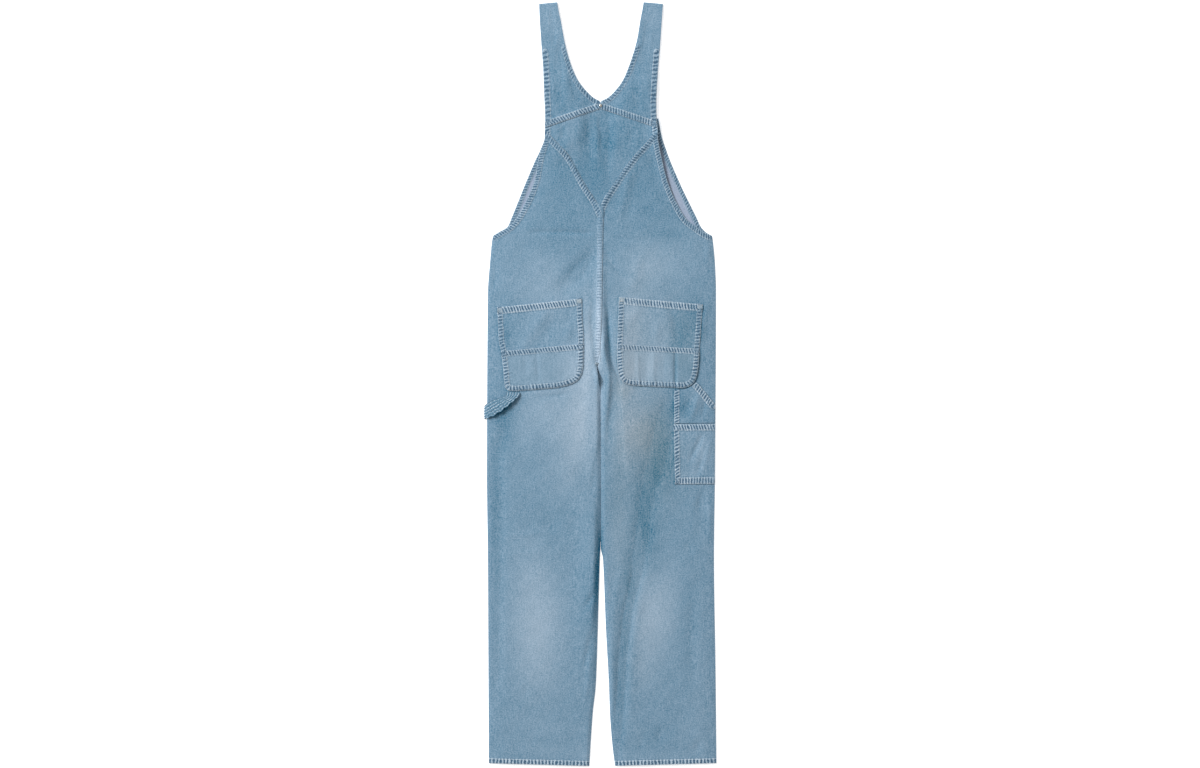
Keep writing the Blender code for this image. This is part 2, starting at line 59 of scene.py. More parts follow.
MM = 0.001
NO_SEAM = 9.0               # off mark of places that lie far from any seam
GREY_TINT = (1.08, 0.985, 0.93, 1.0)
YOKE_POINT = 562.0          # yoke seam: its height in the middle, its fall to the sides
YOKE_SLOPE = 0.3394
LINE_STEP = 4.0             # distance between the points of a rounded seam line
LOG = logging.getLogger("overalls")


class Side(Enum):
    """The wearer's left or right; the left lies on the -X side."""

    LEFT = "left"
    RIGHT = "right"

    @property
    def sign(self) -> int:
        """-1 for the left side, 1 for the right."""
        return -1 if self is Side.LEFT else 1


class Slot(Enum):
    """Material slots of the part's record."""

    DENIM = "denim"
    PALE = "pale_denim"
    INSIDE = "inside_denim"
    NICKEL = "nickel"


def columns(names: str, rows: Sequence[Sequence[float]]) -> dict[str, Array]:
    """Turn a table's rows into named columns, lowest first value first.

    Args:
        names: Column names, parted by spaces.
        rows: Rows of millimetres.

    Returns:
        One array for each name.
    """
    ordered = np.array(sorted(rows), float)
    return {name: ordered[:, k] for k, name in enumerate(names.split())}


OUTSEAM = columns("height left right", (
    (297, -215, 223), (284, -217, 225), (240, -221, 229), (184, -225, 231), (-180, -227, 229),
    (-348, -225, 227), (-560, -224, 230), (-764, -223, 232),
))

# Centre back seam, and below the crotch the inner edge of each leg
INNER = columns("height left right", (
    (336, -0.8, -0.8), (308, -2, -2), (216, -3.6, -3.6), (124, -5, -5), (70, -8, -8),
    (38, -6.8, -6.8), (-10, -0.4, 1.0), (-322, 0.2, 2.0), (-348, -1, 5), (-488, -5, 11),
    (-600, -9, 17), (-656, -15, 19), (-712, -19, 23), (-764, -22, 29),
))

ARMHOLE = columns("height left_back left_bib right_back right_bib", (
    (531, -110.8, -110.8, 114, 116), (494, -110.8, -111.6, 114.6, 123),
    (469, -118.8, -120, 118.6, 131.4), (445, -125.2, -131.4, 124, 140.2),
    (416, -130, -143.8, 131, 152.6), (390, -137.8, -154.6, 140, 164.2),
    (356, -153.8, -168.2, 156.2, 180.8), (330, -169.8, -178.8, 172.4, 193.6),
    (316, -183, -185, 190, 200), (304, -203, -199, 207, 211), (297, -215, -215, 223, 223),
))

# Seams between the insert and the two back legs
SIDE_SEAM = columns("height left right", (
    (500, -110.8, 113.8), (494, -105, 108), (474, -86, 91), (454, -67, 72), (428, -52, 52), (402, -38, 34),
    (384, -27, 22), (366, -15, 11), (350, -7, 4), (336, -0.8, -0.8),
))

# Yoke and strap: outer edge and neck edge, from the yoke seam up to the shoulder fold
STRAP = columns("outer_up left_outer right_outer inner_up left_inner right_inner", (
    (524.4, -110.8, 113, 563.4, -2, 3), (548, -111, 112, 573, -14, 15),
    (566, -112, 112, 585, -27, 28), (590, -113, 113, 608, -45, 45),
    (628, -114.5, 115.5, 646, -61, 60.5), (672, -117.5, 119, 690, -72.5, 73.5),
    (716, -120.5, 122, 726, -79, 79.5), (744, -122, 124, 747, -83.5, 83.5),
    (758, -122.5, 125, 761, -86, 86),
))

# Back pockets: both ends of each line across them, from the mouth down to the bottom edge
POCKETS = {
    Side.LEFT: np.array((
        (-207, 154, -37, 172), (-206.5, 142, -36.5, 160), (-206, 139, -36, 157),
        (-205, 112, -35, 128), (-203, 82, -33, 98), (-199, 66, -33, 81),
        (-197, 50, -33, 64), (-194, 22, -33.5, 40), (-192.5, 2, -37, 20),
        (-190, -8, -46, 6), (-184, -13, -62, -2), (-170, -14.5, -88, -8),
    )),
    Side.RIGHT: np.array((
        (37, 175, 205, 160), (36.4, 163, 204.4, 148), (36, 160, 204, 145),
        (35, 130, 202, 118), (33.5, 98, 200, 88), (33, 80, 198.6, 71),
        (33, 62, 198, 56), (34, 34, 196, 34), (37, 16, 193.5, 18),
        (46, 3, 189, 6), (60, -2.5, 181, -3), (84, -4.5, 166, -8.2),
    )),
}
PATCH_LINE = 5              # line of a pocket where its lower second layer starts

# Upper tool pocket: across, top and bottom, from its left edge to the outseam
TOOL_UPPER = columns("across top bottom", (
    (147, -12, -78.8), (160, -11.4, -78.6), (172, -9, -78.4), (183, -3, -78.2), (193, 3.4, -78),
    (205, -10.5, -77.8), (218, -26.5, -77.6), (229.4, -40.6, -77.4),
))

# Hammer loop: place of its upper and lower edge, and how high each stands over the leg
LOOP = np.array((
    (-188.8, -15.6, 0.4, -160.8, -17.0, 0.6), (-188.8, -20.0, 0.8, -161.0, -20.0, 2.6),
    (-190.0, -24.0, 1.4, -167.0, -27.5, 5.6), (-198.0, -26.5, 2.4, -175.5, -35.5, 7.6),
    (-208.0, -29.5, 3.2, -187.0, -45.0, 8.2), (-219.0, -33.5, 3.4, -199.5, -54.5, 7.4),
    (-226.0, -38.0, 3.0, -214.0, -63.0, 5.8), (-230.0, -42.0, 1.2, -225.0, -67.5, 3.4),
    (-231.4, -43.5, -0.8, -231.4, -69.5, 0.6), (-230.8, -44.0, -2.0, -230.8, -70.0, -1.6),
    (-228.0, -44.0, -2.2, -228.0, -70.0, -2.2),
))


@dataclass(frozen=True)
class Crease:
    """A soft ridge or trough along a line on the back.

    The line runs down the garment where it can. Each of its points is across, up and the
    rise there, up for a ridge and down for a trough.
    """

    left: float
    right: float
    line: tuple[tuple[float, float, float], ...]


@dataclass(frozen=True)
class Fade:
    """A soft oval on the back that makes the cloth paler (above 0) and deeper (below 0): worn dye at some,
    painted shade in folds, gaps and under edges at others, and painted light at a few.
    """

    across: float
    up: float
    half_across: float
    half_up: float
    turn: float
    strength: float
    grey: float


# Half widths to the left and right of each crease's line, then the line's points
CREASES = tuple(Crease(left, right, tuple(line)) for left, right, *line in (
    (15, 6, (2, 292, 0), (4, 256, 0.8), (4, 208, 1.5), (4, 168, 2.2), (4, 128, 2.8), (5, 94, 3.1),
     (6, 66, 2.6), (9, 40, 1.4), (10, 20, 0)),
    (20, 5, (-17, 192, 0), (-21, 168, 0.6), (-25, 128, 1.1), (-20, 84, 1.1), (-13, 44, 1.1),
     (-6, -2, 1.2), (-5, -56, 1.2), (-7, -112, 1), (-12, -144, 0.8), (-22, -192, 0.5),
     (-34, -250, 0)),
    (26, 7, (-16, -210, 0), (-14, -250, 1.6), (-13, -310, 3), (-15, -370, 3.4), (-16, -430, 3),
     (-20, -490, 1.8), (-26, -560, 0.8), (-32, -640, 0)),
    (7, 5, (8, 108, 0), (8, 76, 2.2), (13, 44, 2.6), (17, 16, 2.4), (15, -30, 1.6), (11, -80, 0.8),
     (9, -120, 0)),
    (3.2, 3.2, (14, 160, 0), (15, 148, -0.6), (16.4, 132, -2), (17.6, 110, -3.4), (19.4, 84, -4),
     (22, 58, -3.8), (26, 38, -2.8), (33, 20, -1.6), (38, 6, -0.6), (42, -12, 0)),
    (14, 20, (30, 150, 0), (30, 110, 1.6), (34, 70, 1.8), (42, 34, 1.2), (50, 6, 0)),
    (4, 3.4, (-11, 70, 0), (-7.4, 46, -1.4), (-3, 24, -2.6), (0.2, 6, -3), (0.8, -14, -2.4),
     (0.4, -32, -1), (0, -60, -0.4), (0, -92, 0)),
    (6, 22.5, (31, 176, 0), (33, 132, 0.9), (41, 72, 1.5), (47, 12, 1.4), (45, -32, 1),
     (51, -128, 0.7), (55, -200, 0)),
    (9, 12, (33, 0, 0), (25, -32, -1.2), (15, -92, -0.9), (13, -172, 0)),
    (6, 7.5, (7, 280, 0), (15, 256, -0.7), (25, 238, -1), (37, 224, -0.8), (53, 206, 0)),
    (15, 16.5, (-8, 276, 0), (-23, 250, -1.5), (-44, 224, -2), (-67, 198, -1.5), (-91, 174, 0)),
    (12, 12, (81, 264, 0), (75, 236, 0.8), (67, 208, 0.8), (51, 180, 0)),
    (4.5, 4.5, (-149, 300, 0), (-129, 304, -0.7), (-81, 304, -0.9), (-29, 302, -0.8),
     (-13, 302, 0)),
    (4.5, 4.5, (11, 296, 0), (39, 292, -0.3), (89, 288, -0.3), (109, 286, 0)),
    (7.5, 7.5, (-27, 548, 0), (-25, 520, -0.7), (-23, 488, -0.9), (-21, 456, -0.6), (-21, 412, 0)),
    (7.5, 7.5, (13, 554, 0), (13, 528, -1), (15, 478, -1.1), (15, 428, -0.4), (15, 388, 0)),
    (5.2, 5.2, (1, 548, 0), (1, 524, -0.8), (3, 488, -0.6), (3, 444, 0)),
    (6, 6, (-9, 536, 0), (-7, 492, 0.8), (-5, 432, 0)),
    (9, 9, (31, 536, 0), (33, 488, 0.8), (31, 432, 0)),
    (9, 9, (-45, 524, 0), (-45, 468, 0.6), (-47, 412, 0)),
    (7.5, 7.5, (-77, 528, 0), (-75, 504, -0.7), (-79, 472, 0)),
    (9, 9, (63, 532, 0), (61, 488, -0.5), (55, 438, 0)),
    (10.5, 13.5, (67, 452, 0), (59, 420, 1), (51, 384, 1.2), (43, 348, 0.9), (31, 312, 0)),
    (12, 12, (71, 420, 0), (63, 388, -0.7), (55, 356, -0.6), (47, 320, 0)),
    (4.5, 5.2, (-97, 756, 0), (-97, 728, -0.6), (-95, 696, -0.8), (-93, 672, 0)),
    (6, 6, (-79, 696, 0), (-81, 672, -0.6), (-83, 628, -1), (-83, 580, -0.9), (-81, 544, 0)),
    (6, 6, (-61, 640, 0), (-55, 604, -0.9), (-49, 580, -1), (-47, 560, 0)),
    (7.5, 7.5, (-69, 652, 0), (-67, 600, 0.5), (-63, 556, 0)),
    (6, 6, (97, 728, 0), (93, 696, -0.9), (87, 656, -0.9), (85, 632, 0)),
    (6, 6, (67, 648, 0), (71, 612, -0.9), (73, 578, -1.1), (77, 544, 0)),
    (5.2, 4.5, (115, 760, -0.3), (113, 720, -0.9), (111, 688, 0)),
    (6, 6, (91, 636, 0), (95, 588, 0.5), (99, 548, 0)),
    (12, 12, (-103, 160, 0), (-113, 136, 0.9), (-133, 108, 1), (-149, 84, 1), (-163, 60, 0)),
    (12, 12, (-87, 140, 0), (-103, 108, -0.7), (-121, 74, 0)),
    (9, 9, (-55, 128, 0), (-65, 100, 0.6), (-69, 74, 0)),
    (4.5, 4.5, (-129, 68, 0), (-127, 48, -0.6), (-125, 24, -0.6), (-121, -2, 0)),
    (6, 6, (-153, 64, 0), (-149, 40, -0.5), (-149, 12, 0)),
    (9, 9, (133, 176, 0), (143, 144, -0.9), (151, 108, -1), (155, 72, 0)),
    (9, 9, (117, 144, 0), (113, 108, 0.7), (111, 72, 0.2)),
    (10.5, 10.5, (83, 162, 0), (71, 142, 0.6), (59, 124, 0.6), (53, 96, 0)),
    (6, 6, (105, 68, 0), (107, 52, 0.9), (105, 12, 0.9), (103, -8, 0)),
    (4.5, 4.5, (75, 64, 0), (75, 44, 0.8), (75, 12, 0.7), (75, -8, 0)),
    (6, 6, (91, 60, 0), (91, 28, -0.6), (91, -4, 0)),
    (6, 6, (125, 68, 0), (127, 36, -0.6), (127, 0, 0)),
    (3.4, 2.6, (149, 68, 0), (150, 52, -1.5), (150, 16, -1.5), (150, -6, -0.5)),
    (7.5, 7.5, (-213, 260, 0), (-213, 224, -0.7), (-215, 184, 0)),
    (6, 6, (211, 300, 0), (215, 268, 0.6), (213, 228, 0)),
    (6, 6, (217, 172, 0), (209, 132, 0.7), (203, 104, 0.5), (205, 72, 0)),
    (13.5, 13.5, (-193, -36, 0), (-193, -88, -0.8), (-205, -152, -1), (-201, -272, -1.1),
     (-205, -380, -1.1), (-207, -512, -1.1), (-207, -580, -1), (-203, -620, 0)),
    (6, 6, (-129, -26, 0), (-105, -24, -0.6), (-81, -22, -0.6), (-59, -14, 0)),
    (18, 18, (-109, -240, 0), (-97, -272, -0.6), (-87, -308, 0)),
    (4.5, 4.5, (-201, -300, 0), (-161, -302, 0.4), (-111, -296, 0.4), (-69, -308, 0)),
    (4.5, 4.5, (-191, -344, 0), (-141, -336, 0.35), (-89, -344, 0)),
    (4.5, 4.5, (-11, -410, 0), (-17, -426, -1), (-25, -438, -0.8), (-37, -450, 0)),
    (6, 6, (-15, -484, 0), (-21, -512, -0.9), (-27, -544, -0.9), (-35, -576, 0)),
    (6, 6, (-19, -532, 0), (-21, -576, 0.8), (-27, -612, 0.6), (-33, -648, 0)),
    (4.5, 4.5, (-151, -600, 0), (-149, -614, -0.5), (-145, -626, 0)),
    (6, 6, (-137, -700, 0), (-135, -714, -0.4), (-137, -728, 0)),
    (24, 22.5, (149, 0, 0), (143, -20, -0.9), (135, -56, -1.9), (125, -104, -2.6),
     (111, -156, -2.5), (103, -188, -2.1), (95, -224, -1.6), (89, -256, 0)),
    (18, 18, (97, -212, 0), (91, -242, -1.6), (85, -292, -2.6), (79, -328, -2.1), (73, -356, -1.3),
     (67, -382, 0)),
    (10.5, 12, (79, -328, 0), (77, -352, -1.8), (70, -392, -2.8), (59, -440, -3), (51, -492, -3),
     (45, -544, -2.8), (41, -612, -2.6), (36, -672, -2.2), (33, -722, -1.8), (29, -758, -1.2)),
    (7.5, 7.5, (47, -352, 0), (33, -412, 0.6), (25, -492, 0.7), (23, -592, 0.6), (23, -672, 0)),
    (10.5, 13.5, (89, -392, 0), (73, -440, 0.7), (65, -532, 0.7), (61, -632, 0.6), (61, -716, 0)),
    (10.5, 10.5, (199, -204, 0), (203, -232, -0.8), (199, -272, -0.6), (191, -332, 0)),
    (6, 6, (215, -224, 0), (219, -272, 0.6), (217, -328, 0)),
    (12, 12, (199, -344, 0), (187, -432, -0.5), (183, -476, -0.8), (183, -544, -0.7),
     (187, -616, 0)),
    (7.5, 7.5, (169, -316, 0), (179, -332, -0.6), (189, -340, 0)),
    (9, 9, (123, -680, 0), (119, -700, -0.6), (117, -720, 0)),
    (7.5, 7.5, (199, -708, 0), (195, -724, -0.8), (193, -740, 0)),
    (7.5, 7.5, (89, -696, 0), (81, -720, -0.5), (79, -744, 0)),
    (6, 6, (199, -12, 0), (193, -32, 1), (187, -52, 1), (179, -76, 0)),
    (4.5, 4.5, (211, -20, 0), (207, -44, -0.8), (203, -72, 0)),
    (7.5, 7.5, (179, -20, 0), (171, -48, -0.7), (167, -72, 0)),
    (5.2, 5.2, (205, -96, 0), (197, -116, -1), (185, -140, -1), (177, -160, 0)),
    (5.2, 5.2, (205, -144, 0), (197, -168, -0.8), (193, -186, 0)),
    (5.2, 5.2, (221, -108, 0), (213, -142, 0.7), (205, -176, 0)),
    (6, 6, (209, -204, 0), (201, -232, -0.7), (189, -260, 0)),
))

# Spots of tone on the back. The broad pale ones are worn dye. The narrow deep ones along folds, in the
# crotch slit, where the legs part, under the hammer loop and below the pocket corners are painted shade.
# The pale strips along the centre seam are painted light.
WEAR_AND_SHADING_SPOTS = tuple(Fade(*spot) for spot in (
    (-127, -488, 52, 100, 0, 1, 0.3), (-139, -382, 44, 52, 0, 0.35, 0.1),
    (-121, -592, 40, 44, 0, 0.2, 0.1), (97, -476, 44, 84, 0, 0.75, 0.35),
    (79, -568, 36, 48, 0, 0.25, 0.2), (135, -432, 32, 60, 0, 0.25, 0.1),
    (-41, -80, 26, 112, 0, 0.8, 0.3), (-57, 24, 28, 32, 0, 0.55, 0.2), (-25, 78, 16, 92, 0, 1, 0.3),
    (-81, -52, 52, 52, 0, 0.5, 0.2), (-69, -152, 40, 72, 0, 0.35, 0.2),
    (-105, 196, 52, 68, 20, 0.45, 0.1), (-161, 88, 36, 80, 0, 0.15, 0),
    (83, 216, 44, 68, -12, 0.55, 0.3), (135, 244, 52, 40, 0, 0.25, 0.1),
    (16.6, 94, 3, 48, 4.5, -1.1, 0.6), (-6, -380, 9, 110, -3, -0.8, 0),
    (-14, -560, 8, 60, -6, -0.1, 0), (86, -300, 15, 70, 8, -0.3, 0.2),
    (60, -400, 13, 60, 12, -0.25, 0.2), (47, -500, 13, 80, 4, -0.35, 0.2),
    (40, -630, 13, 90, 3, -0.35, 0.1), (150, 108, 22, 66, 0, -0.15, 0.2),
    (24, -240, 18, 50, 0, -0.25, 0.1), (105, -180, 14, 40, 0, -0.3, 0.1),
    (-28, -430, 12, 50, 0, -0.3, 0), (-1, 186, 6, 110, 0, 0.45, 0),
    (-56, 232, 46, 12, 42, -0.35, 0), (163, -42, 24, 24, 0, -0.6, 0),
    (156, 40, 18, 64, 0, -0.35, 0), (-172, 20, 30, 34, 0, -0.2, 0),
    (36, -205, 18, 90, 0, -0.3, 0.2), (113, -180, 10, 30, 0, -0.35, 0),
    (-100, 740, 14, 30, 0, 0.2, 0), (104, 740, 14, 30, 0, 0.2, 0), (34, -10, 20, 56, 0, -0.25, 0.3),
    (-194, -49, 32, 4.5, 36, -1.1, 0), (-4, 40, 5, 100, 2, 0.9, 0.1), (-2, 90, 7, 90, 1, 1.1, 0.1),
    (-5, -380, 5, 56, -4, -0.7, 0), (-60, 74, 28, 9, 5, 0.5, 0), (-116, -12, 60, 7, 6, 0.5, 0),
    (-30, -30, 14, 80, 0, 0.3, 0), (-110, -730, 70, 16, 0, 0.35, 0), (-30, -744, 14, 20, 0, 0.4, 0),
    (120, -744, 90, 12, 0, 0.25, 0), (128, -80, 30, 60, 0, 0.1, 0.25),
    (120, -170, 40, 60, 0, -0.2, 0.5), (60, -330, 40, 90, 0, 0, 0.25),
    (-10, -60, 8, 70, 0, 0.6, 0.1), (130, 300, 40, 12, 0, -0.25, 0), (122, 96, 20, 60, 0, 0.4, 0),
    (178, 26, 20, 34, 0, -0.5, 0), (150, 32, 2.4, 36, 0, -1, 0), (120, 100, 90, 80, 0, 0, 0.4),
    (-190, 100, 16, 46, 0, -0.4, 0), (-176, -14, 26, 16, 0, -0.35, 0),
    (20, 486, 16, 30, 0, -0.3, 0), (34, 440, 26, 44, 0, 0.35, 0), (-56, 500, 14, 40, 0, 0.3, 0),
    (-46, 462, 30, 20, 0, 0.25, 0), (-50, 536, 50, 9, 18, 0.6, 0), (20, 578, 20, 8, 34, 0.6, 0),
    (-84, 12, 34, 30, 0, -0.2, 0), (-126, -50, 34, 30, 0, 0.3, 0), (176, -56, 22, 22, 0, -0.35, 0),
    (206, -130, 14, 30, 0, 0.3, 0), (168, -186, 16, 14, 0, 0.4, 0), (-40, -180, 14, 40, 0, -0.3, 0),
    (-210, -250, 12, 170, 0, -0.25, 0), (118, -440, 30, 60, 0, 0.35, 0),
    (-145, -90, 26, 40, 0, 0.25, 0), (-150, -310, 40, 30, 0, 0.2, 0),
    (-120, -690, 70, 26, 0, 0.25, 0), (200, -560, 16, 160, 0, 0.2, 0),
    (170, -700, 50, 40, 0, 0.25, 0), (62, -690, 24, 36, 0, 0.25, 0), (60, 138, 22, 14, 0, 0.2, 0),
    (-2, 6, 5.5, 18, -4, -1.35, 0), (81, -98, 26, 44, 0, 0.1, 0.8), (44, -14, 16, 22, 0, 0, 0.7),
    (63, 108, 28, 68, 0, 0.55, 0.6), (55, 24, 32, 44, 0, 0.6, 0.8), (103, 40, 20, 40, 0, 0.5, 0.3),
    (47, -92, 24, 92, 0, 0.5, 0.6), (99, -80, 48, 80, 0, 0.3, 0.7),
    (35, -272, 24, 100, 0, 0.35, 0.3), (183, -40, 24, 28, 0, 0.3, 0.1),
    (199, -136, 28, 48, 0, 0.25, 0.1), (-1, 468, 88, 80, 0, -0.55, 0),
    (-1, 388, 36, 52, 0, -0.3, 0), (-81, 608, 40, 68, 0, -0.2, 0), (79, 588, 40, 60, 0, -0.2, 0),
    (-61, 300, 80, 44, 0, -0.2, 0), (-90, 392, 60, 90, 0, -0.25, 0), (92, 392, 60, 90, 0, -0.3, 0),
    (-66, 560, 44, 40, 0, -0.25, 0), (66, 560, 44, 40, 0, -0.25, 0), (83, 196, 40, 40, 0, -0.25, 0),
    (-196, -52, 24, 22, 20, -0.5, 0), (135, 328, 60, 52, 0, -0.15, 0),
    (179, 108, 28, 56, 0, -0.3, 0.4), (125, -112, 24, 80, 12, -0.6, 0.3),
    (95, -272, 24, 88, 8, -0.5, 0.2), (-189, -80, 16, 48, 0, -0.4, 0),
    (-203, -272, 16, 140, 0, -0.15, 0), (-1, -272, 12, 120, 0, -0.1, 0),
    (59, -432, 16, 180, 0, -0.3, 0), (179, -432, 28, 140, 0, -0.15, 0),
    (-121, -722, 80, 40, 0, -0.15, 0), (129, -712, 80, 48, 0, -0.2, 0),
    (-97, -272, 68, 40, 0, -0.15, 0), (-81, 724, 32, 40, 0, 0.1, 0), (99, 724, 28, 40, 0, 0.05, 0),
    (-3, 190, 5, 100, 0, 0.6, 0), (-94, -100, 20, 20, 0, 0.3, 0), (-55, 58, 30, 30, 0, 0.3, 0),
    (45, 82, 22, 14, 0, 0.25, 0), (185, 148, 20, 26, 0, -0.3, 0), (140, -60, 14, 30, 0, -0.4, 0),
    (213, -62, 12, 20, 0, -0.25, 0), (-167, 128, 20, 40, 0, -0.2, 0), (-3, 26, 3.6, 13, -8, -1, 0),
    (0, -322, 4, 24, 0, -1, 0), (26, 544, 16, 9, 0, -0.35, 0), (-94, -446, 14, 14, 0, 0.25, 0),
    (119, -454, 20, 50, 0, -0.2, 0), (150, -370, 30, 40, 0, 0.15, 0),
    (60, -120, 60, 70, 0, -0.05, 0.3), (108, -165, 50, 100, -8, -0.15, 0.55),
    (-2, 262, 5, 44, 0, 0.45, 0), (3, 120, 8, 32, 0, 0.4, 0), (200, 128, 16, 50, 0, -0.2, 0),
))


def smooth(low: float, high: float, value: Array) -> Array:
    """0 below low, 1 above high and a soft change between them."""
    share = np.clip((value - low) / (high - low), 0.0, 1.0)
    return share * share * (3 - 2 * share)


def curve_at(places: Array, values: Array, at: Array) -> Array:
    """Read a smooth curve that passes through a table's points and never swings past them.

    Args:
        places: Rising places of the points.
        values: The curve's value at each.
        at: Where to read it.

    Returns:
        The value at each place.
    """
    step = np.diff(places)
    slope = np.diff(values) / step
    tangent = np.zeros(len(places))
    tangent[0] = slope[0]
    tangent[-1] = slope[-1]
    product = slope[1:] * slope[:-1]
    total = np.where(product > 0, slope[1:] + slope[:-1], 1.0)
    tangent[1:-1] = np.where(product > 0, 2 * product / total, 0.0)
    cell = np.clip(np.searchsorted(places, at, side="right") - 1, 0, len(step) - 1)
    share = np.clip((at - places[cell]) / step[cell], 0.0, 1.0)
    square = share * share
    cube = square * share
    return (values[cell] * (2 * cube - 3 * square + 1) + values[cell + 1] * (3 * square - 2 * cube)
            + step[cell] * (tangent[cell] * (cube - 2 * square + share)
                            + tangent[cell + 1] * (cube - square)))


def across_at(table: dict[str, Array], name: str, y: Array) -> Array:
    """Across place of one of a table's edges at each height."""
    return curve_at(table["height"], table[name], y)


def edge_points(table: dict[str, Array], name: str) -> Array:
    """Points of one of a table's edges, the lowest first."""
    return np.stack((table[name], table["height"]), axis=1)


def yoke_seam(x: Array) -> Array:
    """Height of the yoke's seam with the insert at each place across."""
    return YOKE_POINT - YOKE_SLOPE * np.abs(x)


def follow(x: Array, y: Array, line: Array) -> tuple[Array, Array]:
    """Find where places lie along a line.

    Args:
        x: Across places.
        y: Up places.
        line: Points of the line, one row each.

    Returns:
        The distance from the line, above 0 on the left of its direction, and the run
        along the line to the nearest point of it.
    """
    nearest = np.full(x.shape, np.inf)
    side = np.ones(x.shape)
    run = np.zeros(x.shape)
    start = 0.0
    for (ax, ay), (bx, by) in zip(line[:-1, :2], line[1:, :2]):
        dx, dy = bx - ax, by - ay
        length = math.hypot(dx, dy)
        if length == 0:
            continue
        share = np.clip(((x - ax) * dx + (y - ay) * dy) / length**2, 0.0, 1.0)
        away = np.hypot(x - ax - share * dx, y - ay - share * dy)
        closer = away < nearest
        nearest = np.where(closer, away, nearest)
        side = np.where(closer, np.where(dx * (y - ay) - dy * (x - ax) >= 0, 1.0, -1.0), side)
        run = np.where(closer, start + share * length, run)
        start += length
    return nearest * side, run


def lengths_of(vectors: Array) -> Array:
    """Length of each vector, never quite 0."""
    return np.maximum(np.linalg.norm(vectors, axis=-1, keepdims=True), 1e-9)


def runs_of(line: Array) -> Array:
    """Distance along a line to each of its points."""
    steps = np.hypot(*np.diff(line[:, :2], axis=0).T)
    return np.concatenate(([0.0], np.cumsum(steps)))


def even_line(line: Array, step: float) -> Array:
    """The same line with a point about every step along it.

    Args:
        line: Its points, one row each.
        step: Distance between points.

    Returns:
        The new points.
    """
    runs = runs_of(line)
    count = max(int(round(runs[-1] / step)), 1) + 1
    at = np.linspace(0.0, runs[-1], count)
    return np.stack([np.interp(at, runs, line[:, k]) for k in range(line.shape[1])], axis=1)


def rounded_line(line: Array, step: float) -> Array:
    """A smooth line through the points, with a point about every step along it."""
    runs = runs_of(line)
    at = np.linspace(0.0, runs[-1], max(int(round(runs[-1] / step)), 2) + 1)
    return np.stack([curve_at(runs, line[:, k], at) for k in range(line.shape[1])], axis=1)


def near_line(line: Array, reach: float, x: Array, y: Array) -> Array:
    """Which places are in the box round a line, widened by a reach."""
    low, high = line[:, :2].min(axis=0) - reach, line[:, :2].max(axis=0) + reach
    return (x > low[0]) & (x < high[0]) & (y > low[1]) & (y < high[1])


def offset_line(line: Array, distance: float) -> Array:
    """Move a line sideways, to the left of its direction where distance is above 0."""
    along = np.gradient(line[:, :2], axis=0)
    along /= lengths_of(along)
    return line[:, :2] + distance * np.stack((-along[:, 1], along[:, 0]), axis=1)


@dataclass(frozen=True)
class Seam:
    """A sewn band: its middle line, its half width to each stitch row and its puckers."""

    line: Array
    half: float
    rise: float = 0.5
    pucker: float = 0.28
    pitch: float = 7.0
    wear: float = 1.0
    rows: tuple[float, ...] = (-1.0, 1.0)
    phase: float = 0.0
    tick: float = 5.7
    slant: float = 0.3
    spread: float = 2.0

    def wave(self, run: Array, across: Array) -> Array:
        """Height of the puckers, from -1 to 1, uneven in length and depth.

        Args:
            run: Distance along the seam.
            across: Distance from its middle line.

        Returns:
            The wave at each place.
        """
        turn = 2 * math.pi * (run + 0.25 * across) / self.pitch
        slow = turn / 4.3 + self.phase
        turn = turn + 1.2 * np.sin(slow) + 0.8 * np.sin(turn / 9.7 + 2.1 * self.phase)
        swell = 0.62 + 0.38 * np.sin(turn / 6.1 + 3 * self.phase)
        return np.sin(turn + self.phase) * swell


@dataclass
class SeamField:
    """What the seams of a piece do at each of its places."""

    off: Array
    wave: Array
    wear: Array
    turns: Array
    rise: Array

    @classmethod
    def of(cls, x: Array, y: Array, seams: Sequence[Seam]) -> "SeamField":
        """Work out the field.

        Args:
            x: Across places.
            y: Up places.
            seams: Seams of the piece.

        Returns:
            Distance from the nearest seam in half widths, its puckers, its wear, the count
            of its small ticks and how much the seams raise the cloth.
        """
        result = cls(np.full(x.shape, NO_SEAM), *(np.zeros(x.shape) for _ in range(4)))
        for seam in seams:
            near = near_line(seam.line, (seam.spread + 0.2) * seam.half, x, y)
            if not near.any():
                continue
            distance, run = follow(x[near], y[near], seam.line)
            off = np.abs(distance) / seam.half
            closer = off < result.off[near]
            wave = seam.wave(run, distance)
            body = 1 - smooth(1.0, 1.5, off)
            rise = seam.rise * body + seam.pucker * wave * (1 - smooth(0.8, seam.spread, off))
            for values, fresh in ((result.off, off), (result.wave, wave),
                                  (result.wear, np.full(off.shape, seam.wear)),
                                  (result.turns, run / seam.tick + seam.phase
                               + seam.slant * distance / seam.half)):
                values[near] = np.where(closer, fresh, values[near])
            result.rise[near] = np.where(closer, rise + 0.5 * result.rise[near],
                                         result.rise[near])
        return result


